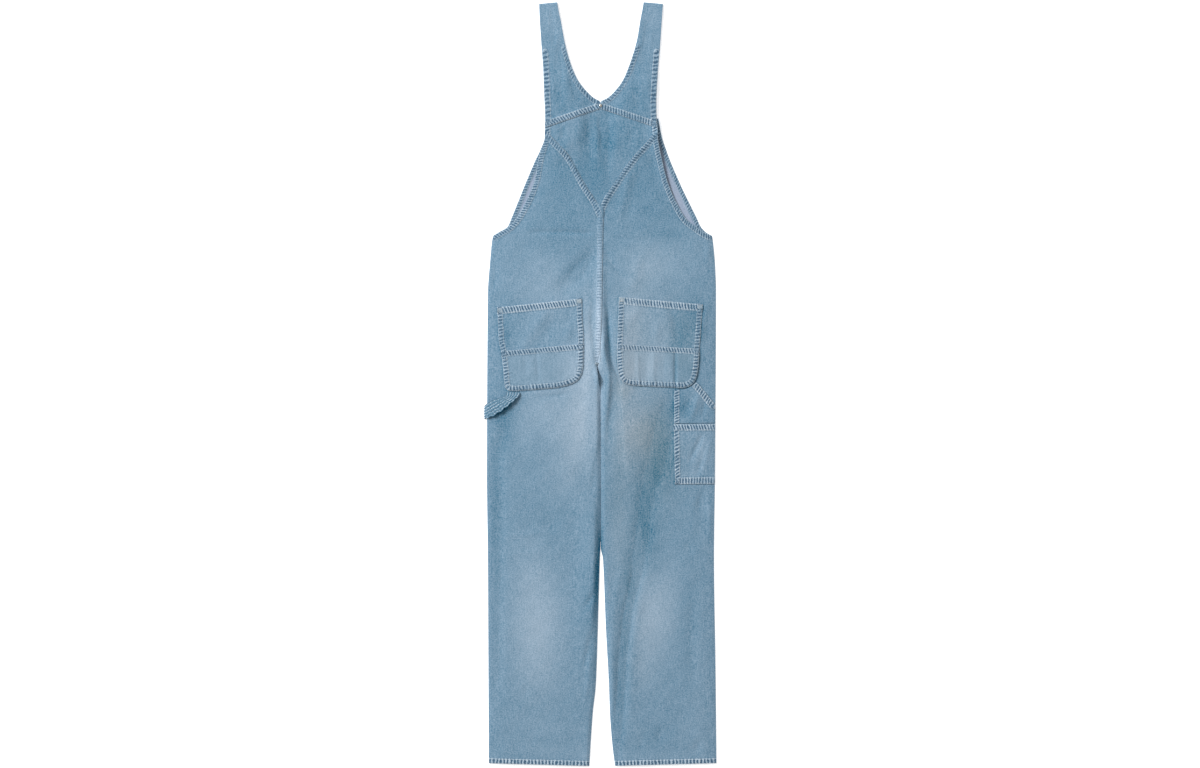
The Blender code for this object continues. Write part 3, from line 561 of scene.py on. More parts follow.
@dataclass(frozen=True)
class Lie:
    """How the garment lies on the floor: heights of each layer at a place."""

    cloth: float = 1.2
    strap_cloth: float = 1.6
    gap: float = 0.3
    overlay_gap: float = 0.2
    waist: float = 297.0
    lift: float = 2.2
    yoke_lift: float = 0.8
    lift_fade: Point = (430.0, 540.0)
    rounding: float = 45.0
    inner_rounding: float = 9.0
    inner_rim_fade: Point = (-60.0, 38.0)
    button_across: float = 88.0
    stack_up: float = 535.0
    stack_reach: Point = (75.0, 110.0)
    stack_flat: float = 0.55
    bib_stack: float = 0.8
    on_buckle: float = 4.2
    roll_width: float = 3.4
    roll_drop: float = 0.8
    roll_head: Point = (285.0, 305.0)
    roll_slit: Point = (0.0, 36.0)
    armhole_rise: float = 5.0
    armhole_reach: float = 15.0
    armhole_foot: Point = (345.0, 440.0)
    armhole_head: Point = (505.0, 530.0)
    sway: float = 0.22
    depth: float = 1.6

    def outer_edge(self, side: Side, y: Array) -> Array:
        """Across place of the back's outer edge: armhole above the waist, outseam below."""
        return np.where(y > self.waist, across_at(ARMHOLE, side.value + "_back", y),
                        across_at(OUTSEAM, side.value, y))

    def swelling(self, x: Array, y: Array, share: float = 1.0) -> Array:
        """1 over each strap's button and buckle, down to 0 around them."""
        along = (np.abs(x) - self.button_across) / (self.stack_reach[0] * share)
        up = (y - self.stack_up) / (self.stack_reach[1] * share)
        return 1 - smooth(self.stack_flat, 1.0, np.hypot(along, up))

    def rim_distances(self, x: Array, y: Array) -> tuple[Array, Array]:
        """Distance of each place from the back's outer edge and from its middle line.

        Args:
            x: Across places.
            y: Up places.

        Returns:
            The two distances.
        """
        middle_left = across_at(INNER, "left", y)
        middle_right = across_at(INNER, "right", y)
        is_left = x < (middle_left + middle_right) / 2
        outer = np.where(is_left, x - self.outer_edge(Side.LEFT, y), self.outer_edge(Side.RIGHT, y) - x)
        inner = np.where(is_left, middle_left - x, x - middle_right)
        return np.maximum(outer, 0.0), np.abs(inner)

    def rim_rise(self, x: Array, y: Array) -> Array:
        """0 at the rims of the back, 1 well inside them.

        Args:
            x: Across places.
            y: Up places.

        Returns:
            The share at each place.
        """
        outer, inner = self.rim_distances(x, y)
        rise = np.sin(math.pi / 2 * np.minimum(outer / self.rounding, 1.0))
        inner_rise = np.sin(math.pi / 2 * np.minimum(inner / self.inner_rounding, 1.0))
        share = 1 - smooth(*self.inner_rim_fade, y)
        return rise * (1 - share * (1 - inner_rise))

    def roll(self, x: Array, y: Array) -> Array:
        """How far the back turns down over the front in the last few millimetres of a leg.

        Args:
            x: Across places.
            y: Up places.

        Returns:
            The drop at each place.
        """
        outer, inner = self.rim_distances(x, y)
        down = np.exp(-((outer / self.roll_width) ** 2)) * (1 - smooth(*self.roll_head, y))
        down_inside = np.exp(-((inner / self.roll_width) ** 2)) * (1 - smooth(*self.roll_slit, y))
        return self.roll_drop * np.maximum(down, down_inside)

    def relief(self, x: Array, y: Array) -> Array:
        """Sum of the creases, with a slight sway of the whole cloth.

        Args:
            x: Across places.
            y: Up places.

        Returns:
            Its height at each place.
        """
        total = self.sway * (np.sin(x / 13.0 + 1.7 * np.sin(y / 47.0)) * np.sin(y / 19.0 + x / 31.0)
                             + 0.8 * np.sin(x / 7.1 - y / 23.0) * np.sin(y / 11.0 + 2.0))
        for crease in CREASES:
            line = rounded_line(np.array(crease.line), 12.0)
            near = near_line(line, 3 * max(crease.left, crease.right), x, y)
            if near.any():
                away, run = follow(x[near], y[near], line)
                rise = np.interp(run, runs_of(line), line[:, 2])
                width = np.where(away > 0, crease.right, crease.left)
                total[near] += self.depth * rise * np.exp(-((away / width) ** 2))
        return total

    def back_under(self, x: Array, y: Array) -> Array:
        """Height of the inner face of the back above the floor.

        Args:
            x: Across places.
            y: Up places.

        Returns:
            The height at each place.
        """
        x, y = np.asarray(x, float), np.asarray(y, float)
        under_strap = smooth(480.0, 531.0, y) * (self.strap_cloth - self.cloth)
        resting = self.cloth + self.gap + under_strap + self.swelling(x, y) * self.on_buckle
        lift = self.lift + (self.yoke_lift - self.lift) * smooth(*self.lift_fade, y)
        outer, _ = self.rim_distances(x, y)
        calm = smooth(0.0, 8.0, outer)
        rise = np.maximum(lift * self.rim_rise(x, y) + calm * self.relief(x, y), 0.0)
        return resting + rise - self.roll(x, y) + self.armhole_lift(x, y)

    def armhole_lift(self, x: Array, y: Array) -> Array:
        """The back's right armhole edge stands off the bib.

        Args:
            x: Across places.
            y: Up places.

        Returns:
            The lift at each place.
        """
        outer, _ = self.rim_distances(x, y)
        along = smooth(*self.armhole_foot, y) * (1 - smooth(*self.armhole_head, y))
        lift = self.armhole_rise * along * np.exp(-((outer / self.armhole_reach) ** 2))
        return np.where(x > 0, lift, 0.0)

    def back_top(self, x: Array, y: Array) -> Array:
        """Height of the outer face of the back above the floor."""
        return self.back_under(x, y) + self.cloth

    def on_back(self, x: Array, y: Array) -> Array:
        """Height of the inner face of a piece that is sewn on the back."""
        return self.back_top(x, y) + self.overlay_gap


LIE = Lie()


def wear_and_shading_at(x: Array, y: Array) -> tuple[Array, Array]:
    """How pale and how grey the cloth is at each place of the back: worn dye, painted shade and painted
    light.

    Args:
        x: Across places.
        y: Up places.

    Returns:
        The tone and the grey.
    """
    fade = np.zeros(x.shape)
    grey = np.zeros(x.shape)
    for spot in WEAR_AND_SHADING_SPOTS:
        turn = math.radians(spot.turn)
        dx, dy = x - spot.across, y - spot.up
        along = (dx * math.cos(turn) + dy * math.sin(turn)) / spot.half_across
        up = (dy * math.cos(turn) - dx * math.sin(turn)) / spot.half_up
        share = np.exp(-(along**2 + up**2) * 1.1)
        fade += spot.strength * share
        grey += spot.grey * share
    return fade, grey


def border(rows: int, count: int) -> tuple[Array, Array]:
    """Row and column of each point round a grid's border, in order."""
    i = np.concatenate((np.zeros(count - 1), np.arange(rows - 1),
                        np.full(count - 1, rows - 1), np.arange(rows - 1, 0, -1))).astype(int)
    j = np.concatenate((np.arange(count - 1), np.full(rows - 1, count - 1),
                        np.arange(count - 1, 0, -1), np.zeros(rows - 1))).astype(int)
    return i, j


def in_scene(name: str, data: bpy.types.ID) -> Piece:
    """Put a mesh, a lamp or a camera in the scene as an object."""
    made = bpy.data.objects.new(name, data)
    bpy.context.scene.collection.objects.link(made)
    return made


def mesh_object(name: str, points: Array, faces: list, marks: Marks, material: Material) -> Piece:
    """Make a smooth-shaded mesh object.

    Args:
        name: Name of the object.
        points: Places in millimetres, one row each.
        faces: Point numbers of each face.
        marks: Named values at the points, one number or three each.
        material: Its material.

    Returns:
        The object, in the scene.
    """
    mesh = bpy.data.meshes.new(name)
    mesh.from_pydata((points * MM).tolist(), [], faces)
    for key, values in marks.items():
        kind = "FLOAT" if values.ndim == 1 else "FLOAT_VECTOR"
        attribute = mesh.attributes.new(key, kind, "POINT")
        attribute.data.foreach_set("value" if values.ndim == 1 else "vector",
                                   values.astype(np.float32).ravel())
    mesh.shade_smooth()
    mesh.materials.append(material)
    return in_scene(name, mesh)


def cloth_shell(name: str, low: Array, high: Array, marks: Marks, material: Material,
                edge: float = 0.4, face_down: bool = False) -> Piece:
    """Close two matching grids into a thin shell with rounded edges.

    Args:
        name: Name of the object.
        low: Points of the lower face, rows by columns by three.
        high: Points of the upper face.
        marks: Named values at the upper face's points.
        material: Its material.
        edge: How far the faces stop short of the shell's rounded edge.
        face_down: True where the cloth lies with its dyed outer face down.

    Returns:
        The shell.
    """
    rows, count = high.shape[:2]
    i, j = border(rows, count)
    inner_i = np.clip(i, 1, rows - 2)
    inner_j = np.clip(j, 1, count - 2)
    rim = (high[i, j] + low[i, j]) / 2
    low, high = low.copy(), high.copy()
    for face in (low, high):
        inward = face[inner_i, inner_j] - face[i, j]
        reach = np.linalg.norm(inward, axis=1, keepdims=True)
        face[i, j] += inward / np.maximum(reach, 1e-6) * np.minimum(edge, 0.4 * reach)
    total = rows * count
    number = np.arange(total).reshape(rows, count)
    quads = np.stack((number[:-1, :-1], number[:-1, 1:], number[1:, 1:], number[1:, :-1]),
                     axis=-1).reshape(-1, 4)
    edge_top = number[i, j]
    edge_next = np.roll(edge_top, -1)
    ring = 2 * total + np.arange(len(i))
    ring_next = np.roll(ring, -1)
    faces = np.concatenate((
        quads, quads[:, ::-1] + total,
        np.stack((edge_next, edge_top, ring, ring_next), axis=-1),
        np.stack((edge_top + total, edge_next + total, ring_next, ring), axis=-1),
    ))
    mid_i, mid_j = rows // 2, count // 2
    normal = np.cross(high[mid_i + 1, mid_j] - high[mid_i, mid_j],
                      high[mid_i, mid_j + 1] - high[mid_i, mid_j])
    if np.dot(normal, high[mid_i, mid_j] - low[mid_i, mid_j]) > 0:
        faces = faces[:, ::-1]
    points = np.concatenate((high.reshape(-1, 3), low.reshape(-1, 3), rim))
    spread = {}
    for key, values in marks.items():
        flat = values.reshape(total, -1)
        below = flat.copy()
        if key == "seam" and not face_down:
            below[:, 0] = NO_SEAM
            below[:, 1:] = 0.0
        if key == "inner_face":
            below = np.zeros_like(flat) if face_down else np.ones_like(flat)
        joined = np.concatenate((flat, below, flat[number[i, j]]))
        spread[key] = joined[:, 0] if flat.shape[1] == 1 else joined
    return mesh_object(name, points, faces.tolist(), spread, material)


@dataclass
class Panel:
    """A piece of cloth over a grid of places, with its seams."""

    name: str
    x: Array
    y: Array
    under: Level
    seams: Sequence[Seam] = ()
    thickness: float = 1.2
    extra: Level | None = None
    paler: float = 0.0
    press: float = 0.35
    thin: Array | float = 0.0
    shade: Array | float = 0.0
    face_down: bool = False

    def top(self, x: Array, y: Array) -> Array:
        """Height of the upper face at some places, with its seams and puckers."""
        level = self.under(x, y) + self.thickness + SeamField.of(x, y, self.seams).rise
        return level + self.extra(x, y) if self.extra else level

    def marks(self) -> Marks:
        """What the material reads at each point of the upper face.

        Returns:
            Its marks by name.
        """
        field_values = SeamField.of(self.x, self.y, self.seams)
        fade, grey = wear_and_shading_at(self.x, self.y)
        seam = np.stack((field_values.off, field_values.wave, field_values.wear), axis=-1)
        # tone of the cloth: worn dye, painted shade and painted light from the spots, less the painted
        # shade beside pocket edges
        wash = np.stack((fade + self.paler - self.shade, grey, np.zeros_like(fade)), axis=-1)
        inside = np.minimum(smooth(1.2, 1.5, field_values.off), float(self.face_down))
        return {"seam": seam, "wash": wash, "ticks": field_values.turns, "inner_face": inside}

    def build(self, material: Material) -> Piece:
        """Make the panel as a thin shell.

        Args:
            material: Its finish.

        Returns:
            The shell.
        """
        rise = SeamField.of(self.x, self.y, self.seams).rise
        base = self.under(self.x, self.y)
        if self.extra:
            base = base + self.extra(self.x, self.y)
        low = np.stack((self.x, self.y, base + self.press * np.minimum(rise, 0.0)), axis=-1)
        high = np.stack((self.x, self.y, base + self.thickness - self.thin + rise), axis=-1)
        return cloth_shell(self.name, low, high, self.marks(), material, face_down=self.face_down)


class Graph:
    """Short calls that build one node tree."""

    def __init__(self, tree: bpy.types.NodeTree) -> None:
        """Work on a tree."""
        self.tree = tree

    def feed(self, made: bpy.types.Node, inputs: dict) -> bpy.types.Node:
        """Link a node's sockets to others, or set them to constants.

        Args:
            made: The node.
            inputs: What feeds its sockets, by name or number.

        Returns:
            The node.
        """
        for key, value in inputs.items():
            if isinstance(value, Socket):
                self.tree.links.new(value, made.inputs[key])
            else:
                made.inputs[key].default_value = value
        return made

    def node(self, kind: str, inputs: dict | None = None, **settings: object) -> bpy.types.Node:
        """Add a node.

        Args:
            kind: Its type, without the word ShaderNode.
            inputs: What feeds its sockets, by name or number.
            settings: Its own settings.

        Returns:
            The node.
        """
        made = self.tree.nodes.new("ShaderNode" + kind)
        for key, value in settings.items():
            setattr(made, key, value)
        return self.feed(made, inputs or {})

    def math(self, operation: str, *values: object) -> Socket:
        """Add a Math node and give its result."""
        return self.node("Math", dict(enumerate(values)), operation=operation).outputs[0]

    def times(self, *values: object) -> Socket:
        """Multiply two values."""
        return self.math("MULTIPLY", *values)

    def ramp(self, value: object, low: float, high: float, start: float = 0.0,
             end: float = 1.0) -> Socket:
        """Soft change from start at low to end at high."""
        return self.node("MapRange", {0: value, 1: low, 2: high, 3: start, 4: end},
                         interpolation_type="SMOOTHSTEP").outputs[0]

    def mix(self, share: object, first: object, second: object, blend: str = "MIX") -> Socket:
        """Mix two colours; a share outside 0 to 1 goes beyond them."""
        return self.node("Mix", {0: share, 6: first, 7: second}, data_type="RGBA",
                         blend_type=blend, clamp_factor=False).outputs[2]

    def noise(self, place: object, scale: float, stretch: tuple[float, float, float] = (1, 1, 1),
              detail: float = 2.0) -> Socket:
        """Noise from 0 to 1 with features about 1/scale metres across."""
        moved = self.node("Mapping", {"Vector": place, "Scale": stretch}).outputs[0]
        return self.node("TexNoise", {"Vector": moved, "Scale": scale, "Detail": detail,
                                      "Roughness": 0.55}).outputs[0]

    def bump(self, height: object, strength: float, distance: float, **below: object) -> Socket:
        """Normal bent by a height, over the Normal below where one is given."""
        return self.node("Bump", {"Height": height, "Strength": strength, "Distance": distance,
                                  **below}).outputs[0]


class EffectGroup:
    """A node group with named inputs and outputs, built once and placed in many materials."""

    def __init__(self, name: str, inputs: dict[str, str], outputs: dict[str, str]) -> None:
        """Make the empty group.

        Args:
            name: Name of the group.
            inputs: Socket kind of each named input.
            outputs: Socket kind of each named output.
        """
        self.tree = bpy.data.node_groups.new(name, "ShaderNodeTree")
        for direction, sockets in (("INPUT", inputs), ("OUTPUT", outputs)):
            for label, kind in sockets.items():
                self.tree.interface.new_socket(label, in_out=direction,
                                               socket_type="NodeSocket" + kind)
        self.graph = Graph(self.tree)
        self.source = self.tree.nodes.new("NodeGroupInput").outputs
        self.result = self.tree.nodes.new("NodeGroupOutput").inputs

    def give(self, label: str, value: Socket) -> None:
        """Send a value out of the group."""
        self.tree.links.new(value, self.result[label])

    def place(self, graph: Graph, inputs: dict[str, object]) -> bpy.types.bpy_prop_collection:
        """Put the group in a material's tree and give its outputs."""
        return graph.node("Group", inputs, node_tree=self.tree).outputs


def twill_group() -> EffectGroup:
    """Diagonal ribs of the weave: how much pale weft shows, and the ribs' height.

    Returns:
        The group.
    """
    group = EffectGroup("twill weave", {"Place": "Vector", "Pitch": "Float"},
                        {"Weft": "Float", "Height": "Float"})
    graph = group.graph
    parts = graph.node("SeparateXYZ", {0: group.source["Place"]}).outputs
    wander = graph.noise(group.source["Place"], 260.0, detail=1.0)
    slant = graph.math("MULTIPLY_ADD", parts[0], 0.86, graph.times(parts[1], 0.5))
    turns = graph.times(graph.math("DIVIDE", slant, group.source["Pitch"]), 2 * math.pi)
    rib = graph.math("SINE", graph.math("MULTIPLY_ADD", wander, 5.0, turns))
    fibre = graph.noise(group.source["Place"], 1500.0, (1.0, 0.35, 1.0), 1.0)
    group.give("Weft", graph.times(graph.ramp(rib, -0.2, -1.0), fibre))
    group.give("Height", graph.math("MULTIPLY_ADD", rib, 0.5, fibre))
    return group


def grain_group() -> EffectGroup:
    """Uneven dye of washed denim: small mottling with streaks along the warp.

    Returns:
        The group.
    """
    group = EffectGroup("washed grain", {"Place": "Vector"}, {"Grain": "Float", "Height": "Float"})
    graph = group.graph
    place = group.source["Place"]
    fine = graph.noise(place, 430.0)
    coarse = graph.noise(place, 150.0, detail=3.0)
    slub = graph.noise(place, 620.0, (1.0, 0.09, 1.0), 1.0)
    cloud = graph.noise(place, 34.0, detail=3.0)
    total = -1.55
    for part, weight in ((fine, 1.9), (coarse, 0.3), (slub, 0.65), (cloud, 0.25)):
        total = graph.math("MULTIPLY_ADD", part, weight, total)
    group.give("Grain", total)
    group.give("Height", graph.math("MULTIPLY_ADD", coarse, 2.0, fine))
    return group


def seam_group() -> EffectGroup:
    """Wear along sewn bands: pale rows and puckers, darker hollows between them, and a line of painted
    shade just outside the rows.

    Returns:
        The group.
    """
    group = EffectGroup("seam wear", {"Seam": "Vector", "Ticks": "Float", "Place": "Vector",
                                      "Grain": "Float"},
                        {"Pale": "Float", "DeepDyeAndShade": "Float", "Height": "Float"})
    graph = group.graph
    off, wave, wear = graph.node("SeparateXYZ", {0: group.source["Seam"]}).outputs
    drift = graph.times(graph.noise(group.source["Place"], 110.0), 5.0)
    tick = graph.math("SINE", graph.math("MULTIPLY_ADD", group.source["Ticks"], 2 * math.pi, drift))
    patch = graph.ramp(graph.noise(group.source["Place"], 55.0, detail=3.0), 0.36, 0.62, 0.55, 1.0)
    band = graph.ramp(off, 0.95, 1.35, 1.0, 0.0)
    from_row = graph.math("ABSOLUTE", graph.math("SUBTRACT", off, 1.0))
    row = graph.ramp(from_row, 0.05, 0.36, 1.0, 0.0)
    # painted shade: a dark line just outside the stitch rows, where the band's raised edge falls into
    # shade
    beside = graph.ramp(graph.math("ABSOLUTE", graph.math("SUBTRACT", off, 1.45)), 0.05, 0.35, 1.0, 0.0)
    rough = graph.math("MULTIPLY_ADD", group.source["Grain"], 1.3,
                       graph.math("MULTIPLY_ADD", wave, 0.4, graph.times(tick, 0.8)))
    ridge = graph.times(band, graph.ramp(rough, 0.05, 0.55))
    hollow = graph.times(graph.ramp(off, 0.75, 1.2, 1.0, 0.0), graph.ramp(rough, 0.1, -0.35))
    row = graph.times(row, graph.ramp(rough, -0.6, 0.3, 0.3, 1.0))
    pale = graph.math("MULTIPLY_ADD", row, 0.62, graph.times(ridge, 0.5))
    beside = graph.times(graph.times(beside, 0.6), graph.ramp(rough, 0.5, -0.5))
    deep_dye_and_shade = graph.math("MULTIPLY_ADD", hollow, 1.5, beside)
    group.give("Pale", graph.times(graph.times(pale, patch), graph.math("POWER", wear, 2.0)))
    group.give("DeepDyeAndShade", graph.times(graph.times(deep_dye_and_shade, patch), graph.math("MINIMUM", wear, 1.0)))
    group.give("Height", graph.math("MULTIPLY_ADD", graph.times(rough, band), 0.8,
                                    graph.math("SUBTRACT", band, row)))
    return group


def dye_group() -> EffectGroup:
    """Colour of the dyed face from the finish's own colours and the masks.

    Returns:
        The group.
    """
    group = EffectGroup(
        "worn dye",
        {"Base": "Color", "Worn": "Color", "Hollow": "Color", "Rubbed": "Color", "Fade": "Float",
         "Grey": "Float", "Grain": "Float", "Weft": "Float", "Pale": "Float", "DeepDyeAndShade": "Float"},
        {"Colour": "Color"})
    graph = group.graph
    source = group.source
    fade = graph.math("MULTIPLY_ADD", source["Grain"], 1.7, source["Fade"])
    fade = graph.math("MULTIPLY_ADD", source["Weft"], 0.35, fade)
    colour = graph.mix(fade, source["Base"], source["Worn"])
    colour = graph.mix(source["Grey"], colour, GREY_TINT, "MULTIPLY")
    # darker towards the hollow colour: dye in seam hollows, and painted shade beside the stitch rows
    colour = graph.mix(graph.math("MINIMUM", source["DeepDyeAndShade"], 1.0), colour, source["Hollow"])
    group.give("Colour", graph.mix(graph.math("MINIMUM", source["Pale"], 1.0), colour,
                                   source["Rubbed"]))
    return group


@dataclass
class Effects:
    """The shared node groups."""

    twill: EffectGroup = field(default_factory=twill_group)
    grain: EffectGroup = field(default_factory=grain_group)
    seam: EffectGroup = field(default_factory=seam_group)
    dye: EffectGroup = field(default_factory=dye_group)


def colour(red: float, green: float, blue: float) -> tuple[float, float, float, float]:
    """A plain opaque colour."""
    return (red, green, blue, 1.0)


def new_material(name: str) -> tuple[Material, Graph, bpy.types.Node]:
    """Start a material and give it with its graph and its shader."""
    material = bpy.data.materials.new(name)
    material.use_nodes = True
    return material, Graph(material.node_tree), material.node_tree.nodes["Principled BSDF"]


@dataclass(frozen=True)
class DenimFinish:
    """Washed denim, with its dyed outer face and pale inner face."""

    name: str
    base: tuple = colour(0.172, 0.292, 0.402)
    worn: tuple = colour(0.290, 0.412, 0.532)
    # colour of the dye in seam hollows, also used for the painted shade beside seam rows
    hollow: tuple = colour(0.062, 0.13, 0.21)
    rubbed: tuple = colour(0.50, 0.60, 0.69)
    inside: tuple = colour(0.265, 0.335, 0.455)
    inside_worn: tuple = colour(0.37, 0.44, 0.56)
    twill_pitch: float = 0.0013
    roughness: tuple[float, float] = (0.82, 0.95)
    sheen: float = 0.06

    def build(self, effects: Effects) -> Material:
        """Make the material.

        Args:
            effects: The shared node groups.

        Returns:
            The material.
        """
        material, graph, shader = new_material(self.name)
        place = graph.node("TexCoord").outputs["Object"]
        twill = effects.twill.place(graph, {"Place": place, "Pitch": self.twill_pitch})
        grain = effects.grain.place(graph, {"Place": place})
        seam_mark, wear_and_shading_mark, inner_mark, ticks = (
            graph.node("Attribute", attribute_name=name).outputs[kind]
            for name, kind in (("seam", "Vector"), ("wash", "Vector"), ("inner_face", "Fac"),
                               ("ticks", "Fac")))
        seam = effects.seam.place(graph, {"Seam": seam_mark, "Ticks": ticks, "Place": place,
                                          "Grain": grain["Grain"]})
        # this mark holds worn dye together with painted shade and painted light
        fade, grey, _ = graph.node("SeparateXYZ", {0: wear_and_shading_mark}).outputs
        dyed = effects.dye.place(graph, {
            "Base": self.base, "Worn": self.worn, "Hollow": self.hollow, "Rubbed": self.rubbed,
            "Fade": fade, "Grey": grey, "Grain": grain["Grain"], "Weft": twill["Weft"],
            "Pale": seam["Pale"], "DeepDyeAndShade": seam["DeepDyeAndShade"]})
        inside = graph.mix(graph.math("MULTIPLY_ADD", grain["Grain"], 0.8, 0.5),
                           self.inside, self.inside_worn)
        weave = graph.bump(twill["Height"], 0.25, 0.0003)
        wash = graph.bump(grain["Height"], 0.35, 0.0006, Normal=weave)
        graph.feed(shader, {
            "Base Color": graph.mix(inner_mark, dyed["Colour"], inside),
            "Roughness": graph.ramp(grain["Grain"], -0.5, 0.5, self.roughness[1], self.roughness[0]),
            "Normal": graph.bump(seam["Height"], 0.4, 0.0005, Normal=wash),
            "Sheen Weight": self.sheen, "Sheen Roughness": 0.5, "Specular IOR Level": 0.25})
        return material


@dataclass(frozen=True)
class ThreadFinish:
    """Pale spun thread, uneven where the wash has rubbed it."""

    name: str = "pale thread"
    pale: tuple = colour(0.52, 0.60, 0.65)
    soiled: tuple = colour(0.24, 0.35, 0.44)

    def build(self) -> Material:
        """Make the material.

        Returns:
            The material.
        """
        material, graph, shader = new_material(self.name)
        place = graph.node("TexCoord").outputs["Object"]
        patches = graph.noise(place, 90.0)
        strands = graph.noise(place, 2600.0, (1.0, 1.0, 1.0), 1.0)
        graph.feed(shader, {
            "Base Color": graph.mix(graph.ramp(patches, 0.36, 0.62), self.pale, self.soiled),
            "Roughness": graph.ramp(strands, 0.2, 0.8, 0.7, 0.9),
            "Normal": graph.bump(strands, 0.4, 0.0002)})
        return material


@dataclass(frozen=True)
class MetalFinish:
    """Plated wire and buttons with a slight brushed grain and rubbed spots."""

    name: str = "brushed nickel"
    bright: tuple = colour(0.66, 0.65, 0.61)
    dull: tuple = colour(0.42, 0.40, 0.36)

    def build(self) -> Material:
        """Make the material.

        Returns:
            The material.
        """
        material, graph, shader = new_material(self.name)
        place = graph.node("TexCoord").outputs["Object"]
        spots = graph.noise(place, 320.0, detail=3.0)
        brushed = graph.noise(place, 2400.0, (1.0, 0.1, 0.3), 1.0)
        graph.feed(shader, {
            "Base Color": graph.mix(graph.ramp(spots, 0.42, 0.72), self.bright, self.dull),
            "Roughness": graph.ramp(spots, 0.3, 0.8, 0.26, 0.5), "Metallic": 1.0,
            "Normal": graph.bump(brushed, 0.15, 0.0001)})
        return material


@dataclass(frozen=True)
class FloorFinish:
    """Matt white studio floor."""

    name: str = "studio floor"
    white: tuple = colour(0.93, 0.93, 0.93)
    glow: float = 0.55

    def build(self) -> Material:
        """Make the material."""
        material, graph, shader = new_material(self.name)
        graph.feed(shader, {"Base Color": self.white, "Emission Color": self.white,
                            "Emission Strength": self.glow, "Roughness": 0.9,
                            "Specular IOR Level": 0.1})
        return material


@dataclass
class Finishes:
    """Every material of the garment."""

    effects: Effects = field(default_factory=Effects)

    def __post_init__(self) -> None:
        """Build the materials."""
        self.denim = DenimFinish("washed denim").build(self.effects)
        self.patch = DenimFinish("washed denim patch", base=colour(0.205, 0.322, 0.428)).build(
            self.effects)
        self.thread = ThreadFinish().build()
        self.metal = MetalFinish().build()


def dress(piece: Piece, slot: Slot, *nodes: str) -> None:
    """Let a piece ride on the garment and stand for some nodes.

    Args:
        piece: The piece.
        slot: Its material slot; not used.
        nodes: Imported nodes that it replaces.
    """
    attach(piece, "root")
    if nodes:
        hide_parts(*nodes)
    LOG.info("%s: %d faces", piece.name, len(piece.data.polygons))


@dataclass
class Stitching:
    """Rows of thread on a surface."""

    name: str
    top: Level
    pitch: float = 3.9
    length: float = 2.7
    radius: float = 0.32
    starts: list[Array] = field(default_factory=list)
    ends: list[Array] = field(default_factory=list)

    RING_SHARES = (0.0, 0.2, 0.8, 1.0)
    RING_RADII = (0.5, 1.0, 1.0, 0.5)
    RING_LEVELS = (-0.2, 0.12, 0.12, -0.2)
    SIDES = 5

    def row(self, line: Array, first: float = 0.0, last: float = 1e9) -> None:
        """Sew along a line, from one distance along it to another.

        Args:
            line: Its points, one row each.
            first: Where along the line to start.
            last: Where to end.
        """
        fine = even_line(line, 1.0)
        runs = runs_of(fine)
        begins = np.arange(max(first, 0.0) + 0.8, min(last, runs[-1]) - self.length, self.pitch)
        for store, at in ((self.starts, begins), (self.ends, begins + self.length)):
            store.append(np.stack([np.interp(at, runs, fine[:, k]) for k in range(2)], axis=1))

    def seam(self, seam: Seam, first: float = 0.0, last: float = 1e9) -> None:
        """Sew the rows of a seam."""
        line = even_line(seam.line, 2.0)
        for side in seam.rows:
            self.row(offset_line(line, side * seam.half), first, last)

    def bartack(self, across: float, up: float, width: float, height: float, turn: float) -> None:
        """Sew a dense block of short stitches about a place.

        Args:
            across: Across place of its middle.
            up: Up place of its middle.
            width: Its width.
            height: Its height.
            turn: Its turn in degrees.
        """
        count = max(int(width / 0.62), 3)
        spread = np.linspace(-width / 2, width / 2, count)
        c, s = math.cos(math.radians(turn)), math.sin(math.radians(turn))
        for store, half in ((self.starts, -height / 2), (self.ends, height / 2)):
            store.append(np.stack((across + spread * c - half * s, up + spread * s + half * c), axis=1))

    def build(self, material: Material) -> Piece:
        """Make every stitch as a short round thread that dips into the cloth at its ends.

        Args:
            material: Its finish.

        Returns:
            The stitches.
        """
        start = np.concatenate(self.starts)
        end = np.concatenate(self.ends)
        a = np.column_stack((start, self.top(start[:, 0], start[:, 1])))
        b = np.column_stack((end, self.top(end[:, 0], end[:, 1])))
        along = (b - a) / lengths_of(b - a)
        side = np.cross(along, (0.0, 0.0, 1.0))
        side /= lengths_of(side)
        up = np.cross(side, along)
        turns = 2 * math.pi * np.arange(self.SIDES) / self.SIDES
        rings = []
        for share, radius, level in zip(self.RING_SHARES, self.RING_RADII, self.RING_LEVELS):
            centre = a + (b - a) * share + up * level
            for turn in turns:
                rings.append(centre + self.radius * radius
                             * (side * math.cos(turn) + up * math.sin(turn)))
        points = np.stack(rings, axis=1)
        count, each = points.shape[:2]
        faces = []
        for ring in range(len(self.RING_SHARES) - 1):
            for k in range(self.SIDES):
                low = ring * self.SIDES
                after = (k + 1) % self.SIDES
                faces.append((low + k, low + self.SIDES + k, low + self.SIDES + after, low + after))
        caps = [tuple(range(self.SIDES)), tuple(range(each - 1, each - 1 - self.SIDES, -1))]
        starts = (np.arange(count) * each)[:, None, None]
        quads = (np.array(faces)[None] + starts).reshape(-1, 4).tolist()
        ends = (np.array(caps)[None] + starts).reshape(-1, self.SIDES).tolist()
        piece = mesh_object(self.name, points.reshape(-1, 3), quads + ends, {}, material)
        dress(piece, Slot.PALE)
        return piece


